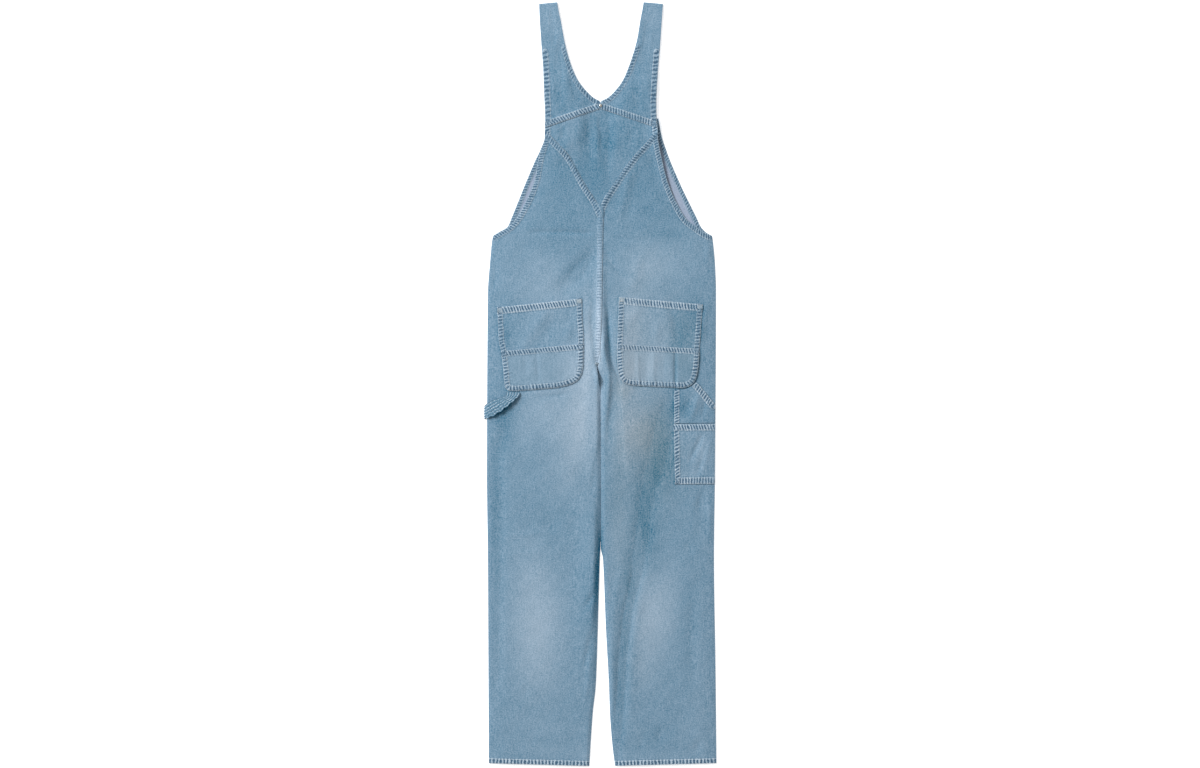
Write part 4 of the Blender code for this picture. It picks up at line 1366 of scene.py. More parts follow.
def grid_between(rows: Array, outer: Array, inner: Array, count: int) -> tuple[Array, Array]:
    """Grid of places with even columns between two edges at each row's height.

    Args:
        rows: Height of each row.
        outer: Across places of one edge.
        inner: Across places of the other.
        count: Number of columns.

    Returns:
        Across and up places.
    """
    share = np.linspace(0.0, 1.0, count)[None, :]
    share[0, 1] *= 0.35
    share[0, -2] = 1.0 - share[0, 1]
    x = outer[:, None] + (inner - outer)[:, None] * share
    return x, np.broadcast_to(rows[:, None], x.shape).copy()


def lay(panel: Panel, material: Material, slot: Slot, node: str, *rests_on: str) -> None:
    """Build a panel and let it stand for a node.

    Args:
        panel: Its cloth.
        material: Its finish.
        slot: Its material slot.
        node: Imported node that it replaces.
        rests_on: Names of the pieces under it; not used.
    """
    piece = panel.build(material)
    dress(piece, slot, node)


def sew_all(name: str, panel: Panel, seams: Sequence[Seam], material: Material,
            first: float = 0.0, last: float = 1e9) -> None:
    """Sew the rows of each seam on a panel, from one distance along it to another.

    Args:
        name: Last part of the stitching's name.
        panel: Its cloth.
        seams: Its seams.
        material: Its finish.
        first: Where along the line to start.
        last: Where to end.
    """
    sewing = Stitching("stitching_" + name, panel.top)
    for seam in seams:
        sewing.seam(seam, first, last)
    sewing.build(material)


@dataclass
class BackLegs:
    """The two back legs, each with the wing that rises beside the insert."""

    finishes: Finishes
    wing_top: float = 507.5
    hem: float = -764.0
    hem_rise: float = 6.0
    hem_slant_end: float = -660.0
    hem_half: float = 4.4
    seam_half: float = 5.0
    felled_rise: float = 8.4
    lap: float = 7.6
    step: float = 1.25
    thinner: float = 0.75
    # darkening beside the pocket edges: painted shade, partly dye kept in the groove
    groove_dye_and_shade: float = 0.65
    slit_lift: float = 6.5
    slit_top: Point = (36.0, 70.0)
    insert_join_left: Point = (344.0, 372.0)
    insert_join_right: Point = (352.0, 388.0)
    crotch: Point = (-348.0, -318.0)
    gape_width: float = 7.0
    gape_up: float = 6.0
    gape_reach: float = 15.0
    columns: int = 104

    def rows(self) -> Array:
        """Heights of the rows, from the top of the wing to the hem."""
        return np.concatenate((np.arange(self.wing_top, -80, -2.25),
                               np.arange(-80, -746, -4.3), np.linspace(-748, self.hem, 9)))

    def slanted(self, x: Array, y: Array) -> Array:
        """Follow the slant of the hem near the bottom of a leg."""
        share = 1 - smooth(self.hem, self.hem_slant_end, y)
        return y + self.hem_rise * share * np.abs(x) / 223.0

    def seam_edge(self, side: Side, y: Array) -> Array:
        """Inner edge of the piece: it laps over the insert, and the left over the right.

        Args:
            side: Side of the wearer.
            y: Up places.

        Returns:
            Its across place at each height.
        """
        over_insert = across_at(SIDE_SEAM, side.value, y - self.felled_rise)
        middle = across_at(INNER, side.value, y)
        if side is Side.LEFT:
            sewn = smooth(*self.slit_top, y)
            lapped = middle + self.lap * sewn - 0.15 * (1 - sewn)
            share = smooth(*self.insert_join_left, y)
            return lapped + (over_insert - lapped) * share - self.gape(y) * 0.15
        beside = across_at(INNER, "left", y) + 0.45
        lapped = beside + (middle - beside) * (1 - smooth(*self.crotch, y)) + self.gape(y)
        share = smooth(*self.insert_join_right, y)
        return lapped + (over_insert - lapped) * share

    def gape(self, y: Array) -> Array:
        """How far the legs part at the top of the slit between them."""
        return self.gape_width * np.exp(-((y - self.gape_up) / self.gape_reach) ** 2)

    def over(self, side: Side) -> Level:
        """How much higher a leg lies where it laps over its neighbour.

        Args:
            side: Side of the wearer.

        Returns:
            The rise as a function of place.
        """
        def extra(x: Array, y: Array) -> Array:
            """Rise of the leg at each place.

            Args:
                x: Across places.
                y: Up places.

            Returns:
                The rise.
            """
            seam = across_at(SIDE_SEAM, side.value, y)
            beyond = (seam - x) * side.sign
            level = smooth(-4.0, 0.6, beyond) * smooth(330.0, 341.0, y)
            if side is Side.LEFT:
                middle = across_at(INNER, "left", y)
                level = level + smooth(-4.0, 0.6, x - middle) * (
                    smooth(*self.slit_top, y) * (1 - smooth(352.0, 372.0, y)))
                raised = smooth(-11.0, 0.0, x - middle) * np.exp(-(((y - 12.0) / 17.0) ** 2))
                return self.step * level + self.slit_lift * raised
            return self.step * level
        return extra

    def seams(self, side: Side) -> list[Seam]:
        """Armhole hem, felled seam beside the insert, centre seam and leg hem.

        Args:
            side: Side of the wearer.

        Returns:
            The seams.
        """
        edge = edge_points(ARMHOLE, side.value + "_back")[:-1]
        hem_line = offset_line(rounded_line(edge, LINE_STEP), side.sign * (self.hem_half + 1.0))
        felled = edge_points(SIDE_SEAM, side.value)
        outer, inner = OUTSEAM[side.value][0], INNER[side.value][0]
        x = np.linspace(outer, inner, 40)
        y = self.slanted(x, np.full(40, self.hem)) + self.hem_half + 0.6
        found = [
            Seam(hem_line, self.hem_half, rise=0.5, pucker=0.34, pitch=7.2, wear=0.85,
                 phase=0.4 + side.sign, tick=5.2),
            Seam(rounded_line(felled, LINE_STEP), self.seam_half, rise=0.3, pucker=0.26, pitch=6.4,
                 wear=0.85, phase=1.3 * side.sign),
            Seam(np.stack((x, y), axis=1), self.hem_half, rise=0.55, pucker=0.42, pitch=7.0,
                 wear=1.35, rows=(1.0,), phase=2.0 + side.sign, tick=7.0, slant=0.0),
        ]
        if side is Side.LEFT:
            y = np.linspace(336.0, 44.0, 60)
            x = across_at(INNER, "left", y) + 1.8
            found.append(Seam(np.stack((x, y), axis=1), self.seam_half, rise=0.3, pucker=0.08,
                              pitch=9.0, wear=0.35, phase=0.7, slant=0.0))
        return found

    def shade_beside_pockets(self, side: Side, x: Array, y: Array) -> Array:
        """How much darker the cloth is painted beside each pocket's edge: painted shade along the edge,
        partly dye kept in the groove.

        Args:
            side: Side of the wearer.
            x: Across places.
            y: Up places.

        Returns:
            The darkening at each place.
        """
        lines = [BackPockets(self.finishes).edge_line(side)]
        if side is Side.RIGHT:
            lines.append(np.array(((146.6, -12.0), (146.0, -80.0), (148.4, -200.0))))
        shade = np.zeros(x.shape)
        for line in lines:
            away, run = follow(x, y, line)
            patchy = 0.7 + 0.3 * np.sin(run / 5.3 + 2.0 * np.sin(run / 17.0))
            shade = np.maximum(shade, patchy * np.exp(-((np.abs(away) - 0.8) / 1.7) ** 2))
        return self.groove_dye_and_shade * shade

    def build(self, side: Side) -> None:
        """Make one back leg and its stitching.

        Args:
            side: Side of the wearer.
        """
        rows = self.rows()
        outer = LIE.outer_edge(side, rows)
        x, y = grid_between(rows, outer, self.seam_edge(side, rows), self.columns)
        y = self.slanted(x, y)
        seams = self.seams(side)
        edge = x[:, -1:]
        lapped = smooth(40.0, 60.0, y) if side is Side.LEFT else smooth(340.0, 352.0, y)
        thin = self.thinner * lapped * (1 - smooth(0.0, 3.2, np.abs(x - edge)))
        panel = Panel("back_leg_cloth_" + side.value, x, y, LIE.back_under, seams,
                      extra=self.over(side), thin=thin, shade=self.shade_beside_pockets(side, x, y))
        lay(panel, self.finishes.denim, Slot.DENIM, "back_leg_" + side.value,
            "front_leg_cloth_" + side.value, "bib_cloth")
        sewing = Stitching("stitching_back_leg_" + side.value, panel.top)
        sewing.seam(seams[0], first=6.0, last=284.0)
        sewing.seam(seams[1], first=0.0 if side is Side.LEFT else 14.0)
        sewing.seam(seams[2])
        if side is Side.LEFT:
            sewing.seam(seams[-1], first=6.0)
            sewing.bartack(-8.0, 40.0, 8.0, 7.0, 60.0)
        sewing.build(self.finishes.thread)


@dataclass
class FrontLegs:
    """The two front legs, flat on the floor under the back."""

    finishes: Finishes
    inset: float = 3.6
    covered: float = 9.0
    crotch: Point = (-330.0, -290.0)
    hem_half: float = 4.4
    columns: int = 44

    RIDGES = (
        (70.0, 40.0, 130.0, 1.1, 16.0), (40.0, -60.0, 110.0, 0.9, 12.0),
        (120.0, -200.0, 160.0, 0.8, 20.0), (95.0, -420.0, 130.0, 1.0, 18.0),
        (150.0, -560.0, 120.0, 0.7, 15.0), (110.0, 190.0, 90.0, 0.8, 17.0),
    )

    def under(self, x: Array, y: Array) -> Array:
        """Height of the outer face, with soft ridges that stand off the floor.

        Args:
            x: Across places.
            y: Up places.

        Returns:
            The height at each place.
        """
        total = np.zeros(x.shape)
        for across, up, half, rise, width in self.RIDGES:
            lean = across + 0.12 * (y - up)
            total += rise * np.exp(-(((np.abs(x) - lean) / width) ** 2) - ((y - up) / half) ** 2)
        return total

    def build(self, side: Side, legs: BackLegs) -> None:
        """Make one front leg.

        Args:
            side: Side of the wearer.
            legs: The back legs over it.
        """
        rows = np.concatenate((np.arange(296.5, -740, -9.0), np.linspace(-742, -764, 12)))
        outer = LIE.outer_edge(side, np.minimum(rows, 296.9)) - side.sign * self.inset
        inner = across_at(INNER, side.value, rows) + side.sign * 0.2
        covered = across_at(INNER, "left", rows) + self.covered + side.sign * 0.2
        share = smooth(*self.crotch, rows)
        inner = inner + (covered - inner) * share
        inner = inner + side.sign * self.inset * (1 - share)
        x, y = grid_between(rows, outer, inner, self.columns)
        y = legs.slanted(x, y)
        line_x = np.linspace(outer[-1], inner[-1], 30)
        line_y = legs.slanted(line_x, np.full(30, legs.hem)) + self.hem_half + 0.6
        hem = Seam(np.stack((line_x, line_y), axis=1), self.hem_half, rise=0.0, pucker=0.0,
                   rows=(1.0,), phase=1.1)
        inseam = np.stack((inner, rows), axis=1)
        felled = [Seam(offset_line(inseam, side.sign * 6.0)[(rows < high) & (rows > low)], 5.0,
                       rise=0.0, pucker=0.0, wear=wear)
                  for high, low, wear in ((80.0, -60.0, 0.0), (-60.0, -750.0, 0.7))]
        panel = Panel("front_leg_cloth_" + side.value, x, y, self.under, [hem, *felled],
                      face_down=True)
        lay(panel, self.finishes.denim, Slot.DENIM, "front_leg_" + side.value)


@dataclass
class Insert:
    """The kite-shaped insert between the yoke seam and the two side seams."""

    finishes: Finishes
    seam_top: float = 497.0
    hem_half: float = 4.4

    def build(self) -> None:
        """Make the insert with the hems of its two short armhole edges."""
        left, right = (edge_points(SIDE_SEAM, side.value) for side in Side)
        left = left[left[:, 1] <= 494.5][::-1]
        right = right[(right[:, 1] <= 494.5) & (right[:, 1] > 336.5)]
        foot = np.vstack(((ARMHOLE["left_back"][-1], self.seam_top), left, right,
                          (ARMHOLE["right_back"][-2], self.seam_top)))
        foot[0, 0] = -110.8
        foot[-1, 0] = 114.6
        across = np.linspace(foot[0, 0], foot[-1, 0], 116)
        low = np.interp(across, foot[:, 0], foot[:, 1]) - 0.5
        high = yoke_seam(across) - 0.3
        share = np.linspace(1.0, 0.0, 92)[:, None]
        y = low[None, :] + (high - low)[None, :] * share
        x = np.broadcast_to(across[None, :], y.shape).copy()
        seams = [Seam(np.array(((foot_x, 494.0), (head_x, 524.0))), self.hem_half, phase=phase,
                      pitch=6.5, pucker=0.3)
                 for foot_x, head_x, phase in ((-105.4, -105.4, 0.9), (109.2, 108.8, 2.2))]
        panel = Panel("back_insert_cloth", x, y, LIE.back_under, seams)
        lay(panel, self.finishes.denim, Slot.DENIM, "back_insert", "bib_cloth")
        sew_all("insert", panel, seams, self.finishes.thread, 12.0, 21.0)


@dataclass
class Straps:
    """Each yoke half and strap in one piece, over the shoulder and down to its buckle."""

    finishes: Finishes
    thickness: float = 1.6
    band: float = 12.6
    fold_rise: float = 1.4
    fold_fade: Point = (531.0, 758.0)
    hem_fade: Point = (700.0, 740.0)
    outer_hem_top: float = 664.0
    neck_hem: Point = (563.0, 676.0)
    half_width: float = 18.0
    top_across: float = 104.0
    bar_up: float = 548.0
    wire_level: float = 2.9
    return_up: float = 585.0
    step: float = 1.25
    thinner: float = 0.9
    columns: int = 46

    def outlines(self, side: Side) -> tuple[Array, Array]:
        """Outer edge and neck edge of the back run, from the lapped edge up.

        Args:
            side: Side of the wearer.

        Returns:
            The points of the two edges.
        """
        outer, inner = (np.stack((STRAP[side.value + "_" + name], STRAP[name + "_up"]), axis=1)
                        for name in ("outer", "inner"))
        outer = np.vstack(((outer[0, 0], outer[0, 1] - self.band), outer))
        inner = np.vstack(((0.25 * side.sign, inner[0, 1] - self.band), inner))
        inner[1, 0] = 0.25 * side.sign
        index = np.arange(len(outer), dtype=float)
        at = np.concatenate((np.linspace(0, 1, 7)[:-1], np.linspace(1, len(outer) - 1, 104)))
        edges = []
        for edge in (outer, inner):
            edges.append(np.stack([curve_at(index, edge[:, k], at) for k in range(2)], axis=1))
        return edges[0], edges[1]

    def level(self, x: Array, y: Array) -> Array:
        """Height of the inner face of the back run."""
        above = y - yoke_seam(x)
        return (LIE.back_under(x, y) + self.step * (1 - smooth(-0.6, 4.0, above))
                + self.fold_rise * smooth(*self.fold_fade, y))

    def seams(self, side: Side) -> list[Seam]:
        """Outer hem, neck hem and the felled yoke seam.

        Args:
            side: Side of the wearer.

        Returns:
            The seams.
        """
        outer, inner = self.outlines(side)
        outer_line = offset_line(outer, side.sign * 6.2)
        inner_line = offset_line(inner, -side.sign * 5.0)
        outer_line = outer_line[outer[:, 1] < self.outer_hem_top]
        low, high = self.neck_hem
        inner_line = inner_line[(inner[:, 1] < high) & (inner[:, 1] > low)]
        x = side.sign * np.linspace(1.5, 111.0, 60)
        y = yoke_seam(x) - self.band / 2 + 0.4
        return [
            Seam(outer_line, 5.0, rise=0.35, pucker=0.4, pitch=11.0, wear=0.8,
                 phase=0.5 * side.sign, tick=8.4, slant=0.1),
            Seam(inner_line, 4.0, rise=0.35, pucker=0.34, pitch=8.0, wear=0.7,
                 phase=1.9 * side.sign, tick=6.6),
            Seam(np.stack((x, y), axis=1), 5.3, rise=0.2, pucker=0.26, pitch=6.2, wear=1.0,
                 phase=2.7 * side.sign),
        ]

    def fold_rows(self, top_row: Array) -> Array:
        """Half circle at the shoulder that carries the strap over to its front run.

        Args:
            top_row: Last row of the back run.

        Returns:
            Rows of places midway in the cloth.
        """
        rows = []
        radius = (top_row[:, 2] - self.thickness / 2) / 2
        middle = top_row[:, 2] - radius
        for angle in np.radians(np.arange(20.0, 180.0, 20.0)):
            rows.append(np.stack((top_row[:, 0], top_row[:, 1] + radius * math.sin(angle),
                                  middle + radius * math.cos(angle)), axis=1))
        return np.array(rows)

    def front_rows(self, side: Side, top_row: Array) -> Array:
        """Front run down to the buckle, round its bar and a short way back up.

        Args:
            side: Side of the wearer.
            top_row: Last row of the back run.

        Returns:
            Rows of places midway in the cloth.
        """
        level = self.thickness / 2
        turn = self.wire_level - level
        first = top_row.copy()
        first[:, 2] = level
        stations = [(y, level) for y in np.linspace(745.0, self.bar_up, 40)]
        for angle in np.radians(np.arange(22.5, 181.0, 22.5)):
            stations.append((self.bar_up - turn * math.sin(angle),
                             self.wire_level - turn * math.cos(angle)))
        stations += [(y, self.wire_level + turn) for y in np.linspace(553.0, self.return_up, 8)]
        share_across = np.linspace(1.0, -1.0, len(top_row))
        rows = [first]
        top_y = float(top_row[:, 1].mean())
        for y, z in stations:
            share = (top_y - y) / (top_y - self.bar_up)
            middle = side.sign * (self.top_across + (LIE.button_across - self.top_across) * share)
            x = middle + side.sign * share_across * self.half_width
            ease = float(smooth(0.0, 0.16, np.array(share)))
            x = top_row[:, 0] * (1 - ease) + x * ease
            slant = (top_row[:, 1] - top_y) * (1 - ease)
            rows.append(np.stack((x, y + slant, np.full(len(x), z)), axis=1))
        return np.array(rows)

    def build(self, side: Side) -> None:
        """Make one strap and its stitching.

        Args:
            side: Side of the wearer.
        """
        outer, inner = self.outlines(side)
        share = np.linspace(0.0, 1.0, self.columns)[None, :, None]
        flat = outer[:, None, :] + (inner - outer)[:, None, :] * share
        x, y = flat[..., 0], flat[..., 1]
        back = np.stack((x, y, self.level(x, y) + self.thickness / 2), axis=-1)
        middle = np.concatenate((back, self.fold_rows(back[-1]), self.front_rows(side, back[-1])))
        seams = self.seams(side)
        panel = Panel("strap_cloth_" + side.value, x, y, self.level, seams, self.thickness)
        normal = np.cross(np.gradient(middle, axis=1), np.gradient(middle, axis=0))
        normal *= -side.sign / lengths_of(normal)
        rise = np.zeros(middle.shape[:2])
        rise[:len(x)] = SeamField.of(x, y, seams).rise * (1 - smooth(*self.hem_fade, y))
        above = y - yoke_seam(x) + self.band
        rise[:len(x)] -= self.thinner * (1 - smooth(0.0, 3.5, above))
        high = middle + normal * (self.thickness / 2 + rise)[..., None]
        low = middle - normal * self.thickness / 2
        marks = {}
        for key, values in panel.marks().items():
            marks[key] = np.zeros((*middle.shape[:2], *values.shape[2:]))
            marks[key][:len(x)] = values
        marks["seam"][len(x):, :, 0] = NO_SEAM
        piece = cloth_shell(panel.name, low, high, marks, self.finishes.denim)
        dress(piece, Slot.DENIM, "strap_" + side.value)
        sewing = Stitching("stitching_strap_" + side.value, panel.top)
        sewing.seam(seams[0], first=6.0)
        sewing.seam(seams[1], first=4.0)
        sewing.seam(seams[2])
        sewing.build(self.finishes.thread)


@dataclass
class Bib:
    """The front bib, its inner face up, with a turned hem at each armhole edge."""

    finishes: Finishes
    thickness: float = 1.2
    hem_half: float = 3.6
    top: float = 531.0
    columns: int = 150

    def under(self, x: Array, y: Array) -> Array:
        """Height of the outer face, raised where it lies on the buckles."""
        return LIE.on_buckle * LIE.swelling(x, y, LIE.bib_stack)

    def build(self) -> None:
        """Make the bib."""
        rows = np.linspace(self.top, 297.2, 88)
        left, right = (across_at(ARMHOLE, side.value + "_bib", rows) for side in Side)
        x, y = grid_between(rows, left, right, self.columns)
        seams = []
        for side in Side:
            edge = edge_points(ARMHOLE, side.value + "_bib")
            line = offset_line(rounded_line(edge, LINE_STEP), side.sign * (self.hem_half + 0.8))
            seams.append(Seam(line, self.hem_half, rise=0.5, pucker=0.3, pitch=7.4, wear=0.8,
                              phase=0.3 + side.sign))
        seams.append(Seam(np.array(((-108.0, 520.0), (112.0, 520.0))), 9.0, rise=0.3, pucker=0.15,
                          pitch=11.0, wear=0.5))
        panel = Panel("bib_cloth", x, y, self.under, seams, self.thickness, press=0.0,
                      face_down=True)
        lay(panel, self.finishes.denim, Slot.INSIDE, "bib", "strap_cloth_left", "strap_cloth_right")
        sew_all("bib", panel, seams, self.finishes.thread)


@dataclass
class BackPockets:
    """Two patch pockets with turned mouths, each with a second layer over its lower half."""

    finishes: Finishes
    cloth: float = 1.2
    gap: float = 0.12
    thinner: float = 0.75
    mouth_half: float = 5.8
    edge_half: float = 4.4
    tool_edge: float = 150.6
    tool_lift: float = 1.2

    def sheet_grid(self, side: Side, first: float, rows: int, count: int) -> tuple[Array, Array]:
        """Grid of places from the line number first down to the bottom edge.

        Args:
            side: Side of the wearer.
            first: Number of the line to start at.
            rows: Number of rows.
            count: Number of columns.

        Returns:
            Across and up places.
        """
        table = POCKETS[side]
        index = np.arange(len(table), dtype=float)
        weight = np.concatenate(([0.0], np.cumsum(np.hypot(np.diff(table[:, 0]), np.diff(table[:, 1])))))
        at = np.interp(np.linspace(np.interp(first, index, weight), weight[-1], rows), weight, index)
        ends = [curve_at(index, table[:, k], at) for k in range(4)]
        share = np.linspace(0.0, 1.0, count)[None, :]
        return (ends[0][:, None] + (ends[2] - ends[0])[:, None] * share,
                ends[1][:, None] + (ends[3] - ends[1])[:, None] * share)

    def under(self, side: Side) -> Level:
        """Height of a pocket's inner face; the right one lies on the tool pocket's edge.

        Args:
            side: Side of the wearer.

        Returns:
            The height at each place.
        """
        def level(x: Array, y: Array) -> Array:
            """Height at each place.

            Args:
                x: Across places.
                y: Up places.

            Returns:
                The height at each place.
            """
            base = LIE.on_back(x, y)
            if side is Side.RIGHT:
                base = base + self.tool_lift * smooth(self.tool_edge - 1.0, self.tool_edge + 2.5, x) * (
                    1 - smooth(56.0, 70.0, y))
            return base
        return level

    def thin_rim(self, side: Side, x: Array, y: Array) -> Array:
        """How much thinner the pressed rim is than the cloth at each place."""
        away, _ = follow(x, y, self.edge_line(side))
        return self.thinner * (1 - smooth(0.0, 4.0, np.abs(away)))

    def edge_line(self, side: Side) -> Array:
        """The pocket's edge from the mouth's left end, round the bottom, to its right end.

        Args:
            side: Side of the wearer.

        Returns:
            Its points.
        """
        x, y = self.sheet_grid(side, 0.0, 60, 3)
        left = np.stack((x[:, 0], y[:, 0]), axis=1)
        right = np.stack((x[:, -1], y[:, -1]), axis=1)
        return even_line(np.vstack((left, right[::-1])), 3.0)

    def build(self, side: Side) -> None:
        """Make one pocket, its second layer and their stitching.

        Args:
            side: Side of the wearer.
        """
        under = self.under(side)
        table = POCKETS[side]
        mouth = np.array(((table[0, 0] + table[2, 0], table[0, 1] + table[2, 1]),
                          (table[0, 2] + table[2, 2], table[0, 3] + table[2, 3]))) / 2
        round_edge = offset_line(self.edge_line(side), self.edge_half + 1.5)
        middle = table[PATCH_LINE].reshape(2, 2) - (0.0, 5.6)
        phase = 0.8 * side.sign
        seams = [
            Seam(mouth, self.mouth_half, rise=0.6, pucker=0.3, pitch=6.2, wear=1.3, phase=phase),
            Seam(round_edge, self.edge_half, rise=0.3, pucker=0.42, pitch=8.6, wear=0.95,
                 phase=phase + 1, spread=3.0, tick=6.4, slant=0.1),
        ]
        x, y = self.sheet_grid(side, 0.0, 96, 86)
        panel = Panel("back_pocket_cloth_" + side.value, x, y, under, seams, self.cloth,
                      thin=self.thin_rim(side, x, y))
        lay(panel, self.finishes.denim, Slot.DENIM, "back_pocket_" + side.value,
            "back_leg_cloth_" + side.value)

        def on_pocket(px: Array, py: Array) -> Array:
            """Height of the second layer's inner face."""
            rise = SeamField.of(px, py, seams[1:]).rise
            rim = self.thin_rim(side, px, py)
            return under(px, py) + self.cloth + self.gap + rise - rim

        layer_seams = [
            Seam(middle, 4.6, rise=0.35, pucker=0.26, pitch=6.6, wear=0.95, phase=phase + 2),
            Seam(round_edge, self.edge_half, rise=0.0, pucker=0.5, pitch=7.4, wear=0.95,
                 phase=phase + 1, spread=3.6, tick=6.4, slant=0.1),
        ]
        x, y = self.sheet_grid(side, float(PATCH_LINE), 54, 86)
        layer = Panel("pocket_patch_cloth_" + side.value, x, y, on_pocket, layer_seams, self.cloth,
                      paler=0.05, thin=1.3 * self.thin_rim(side, x, y))
        lay(layer, self.finishes.patch, Slot.PALE, "pocket_patch_" + side.value,
            "back_pocket_cloth_" + side.value)
        self.sew(side, panel, layer)

    def sew(self, side: Side, panel: Panel, layer: Panel) -> None:
        """Sew a pocket and its second layer.

        Args:
            side: Side of the wearer.
            panel: Its cloth.
            layer: Its second layer.
        """
        seams, layer_seams, table = panel.seams, layer.seams, POCKETS[side]
        round_edge = even_line(seams[1].line, 2.0)
        runs = runs_of(round_edge)
        covered = round_edge[:, 1] < np.interp(round_edge[:, 0], table[PATCH_LINE, ::2],
                                               table[PATCH_LINE, 1::2])
        start, end = runs[covered][0], runs[covered][-1]
        upper = Stitching("stitching_back_pocket_" + side.value, panel.top)
        upper.seam(seams[0])
        upper.seam(seams[1], first=10.0, last=start)
        upper.seam(seams[1], first=end, last=runs[-1] - 10.0)
        for k, inward in ((0, 1), (2, -1)):
            upper.bartack(table[0, k] + inward * 6.0, table[0, k + 1] - 6.5, 10.0, 9.0, 0.0)
        upper.build(self.finishes.thread)
        lower = Stitching("stitching_pocket_patch_" + side.value, layer.top)
        lower.seam(layer_seams[0], first=1.0)
        lower.seam(layer_seams[1], first=start, last=end)
        lower.build(self.finishes.thread)


@dataclass
class ToolPockets:
    """Upper tool pocket with a slanted mouth, and the lower one sewn over its foot."""

    finishes: Finishes
    cloth: float = 1.2
    band_half: float = 5.0
    lower_top: float = -79.6
    lower_bottom: float = -200.0
    lower_left: Point = (146.0, 148.6)
    edge_inset: float = 0.4
    lower_paler: float = 0.04

    def upper(self) -> None:
        """Make the upper pocket."""
        across = np.linspace(147.0, 229.4, 44)
        top = curve_at(TOOL_UPPER["across"], TOOL_UPPER["top"], across)
        bottom = np.interp(across, TOOL_UPPER["across"], TOOL_UPPER["bottom"])
        share = np.linspace(0.0, 1.0, 44)[:, None]
        y = top[None, :] + (bottom - top)[None, :] * share
        x = np.broadcast_to(across[None, :], y.shape).copy()
        mouth = np.array(((192.5, 3.2), (205.0, -10.5), (218.0, -26.5), (229.4, -40.6)))
        seams = [
            Seam(offset_line(mouth, -self.band_half - 1.2), self.band_half, rise=0.5, pucker=0.3,
                 pitch=7.0, wear=1.25, phase=0.6),
            Seam(np.array(((152.6, -6.0), (152.6, -79.0))), 4.2, rise=0.35, pucker=0.36, pitch=9.5,
                 wear=1.1, phase=1.4),
        ]
        self.finish("tool_pocket_upper", x, y, seams)

    def lower(self) -> None:
        """Make the lower pocket, open at its straight top edge."""
        rows = np.linspace(self.lower_top, self.lower_bottom, 58)
        share = (self.lower_top - rows) / (self.lower_top - self.lower_bottom)
        left = self.lower_left[0] + (self.lower_left[1] - self.lower_left[0]) * share
        right = LIE.outer_edge(Side.RIGHT, rows) - self.edge_inset
        x, y = grid_between(rows, left, right, 44)
        seams = [
            Seam(np.array(((146.5, -86.4), (228.6, -86.0))), 5.2, rise=0.55, pucker=0.28,
                 pitch=6.6, wear=1.2, phase=0.2),
            Seam(np.array(((152.2, -92.0), (154.4, -199.0))), 4.2, rise=0.35, pucker=0.38,
                 pitch=10.0, wear=1.1, phase=1.0, tick=7.0),
            Seam(np.array(((149.5, -193.4), (228.4, -192.4))), 5.6, rise=0.35, pucker=0.36,
                 pitch=6.4, wear=1.1, phase=2.6, slant=0.0),
        ]
        self.finish("tool_pocket_lower", x, y, seams, self.lower_paler)

    def finish(self, node: str, x: Array, y: Array, seams: list[Seam], paler: float = 0.0) -> None:
        """Make one pocket's cloth and sew it."""
        panel = Panel(node + "_cloth", x, y, LIE.on_back, seams, self.cloth, paler=paler)
        lay(panel, self.finishes.denim, Slot.DENIM, node, "back_leg_cloth_right")
        sew_all(node, panel, seams, self.finishes.thread)


@dataclass
class HammerLoop:
    """Strip from under the left pocket across to the outseam, its lower edge raised."""

    finishes: Finishes
    cloth: float = 1.2
    rows: int = 72
    count: int = 33
    stitch_rows: int = 5
    ragged: float = 1.3
    ripple: float = 0.22
    ripple_rate: float = 7.3
    tick_rate: float = 2.6
    wear: float = 1.15
    fade: float = -0.6
    grey: float = 0.5
    floor_clear: float = 0.3

    def build(self) -> None:
        """Make the loop, with its raised rows along the strip."""
        index = np.arange(len(LOOP), dtype=float)
        at = np.linspace(0.0, len(LOOP) - 1.0, self.rows)
        values = np.stack([curve_at(index, LOOP[:, k], at) for k in range(6)], axis=1)
        upper = np.column_stack((values[:, :2], values[:, 2] + self.cloth / 2
                                 + LIE.back_top(values[:, 0], values[:, 1])))
        lower = np.column_stack((values[:, 3:5], values[:, 5] + self.cloth / 2
                                 + LIE.back_top(values[:, 3], values[:, 4])))
        lower[:, 1] += self.ragged * np.sin(at * 6.1) * np.sin(math.pi * at / at[-1])
        share = np.linspace(0.0, 1.0, self.count)[None, :, None]
        middle = upper[:, None, :] * (1 - share) + lower[:, None, :] * share
        normal = np.cross(np.gradient(middle, axis=0), np.gradient(middle, axis=1))
        normal /= lengths_of(normal)
        if normal[: self.rows // 2, :, 2].mean() < 0:
            normal = -normal
        between = np.abs((share[0, :, 0] * self.stitch_rows) % 1.0 - 0.5) * 2
        crown = (0.5 * np.sin(math.pi * share[0, :, 0]) + 1.3 * between - 0.8)[None, :]
        turns = at[:, None] * self.ripple_rate
        ripple = self.ripple * np.sin(turns + 9 * share[0, :, 0][None, :])
        high = middle + normal * (self.cloth / 2 + crown + ripple)[..., None]
        low = middle - normal * (self.cloth / 2)
        for face in (low, high):
            face[..., 2] = np.maximum(face[..., 2], self.floor_clear)
        blank = np.zeros(middle.shape[:2])
        marks = {"seam": np.stack((blank + 1.0 + 0.9 * between, blank + np.sin(turns),
                                   blank + self.wear), axis=-1),
                 "wash": np.stack((blank + self.fade, blank + self.grey, blank), axis=-1),
                 "ticks": blank + (at * self.tick_rate)[:, None], "inner_face": blank}
        piece = cloth_shell("hammer_loop_cloth", low, high, marks, self.finishes.denim)
        dress(piece, Slot.DENIM, "hammer_loop")


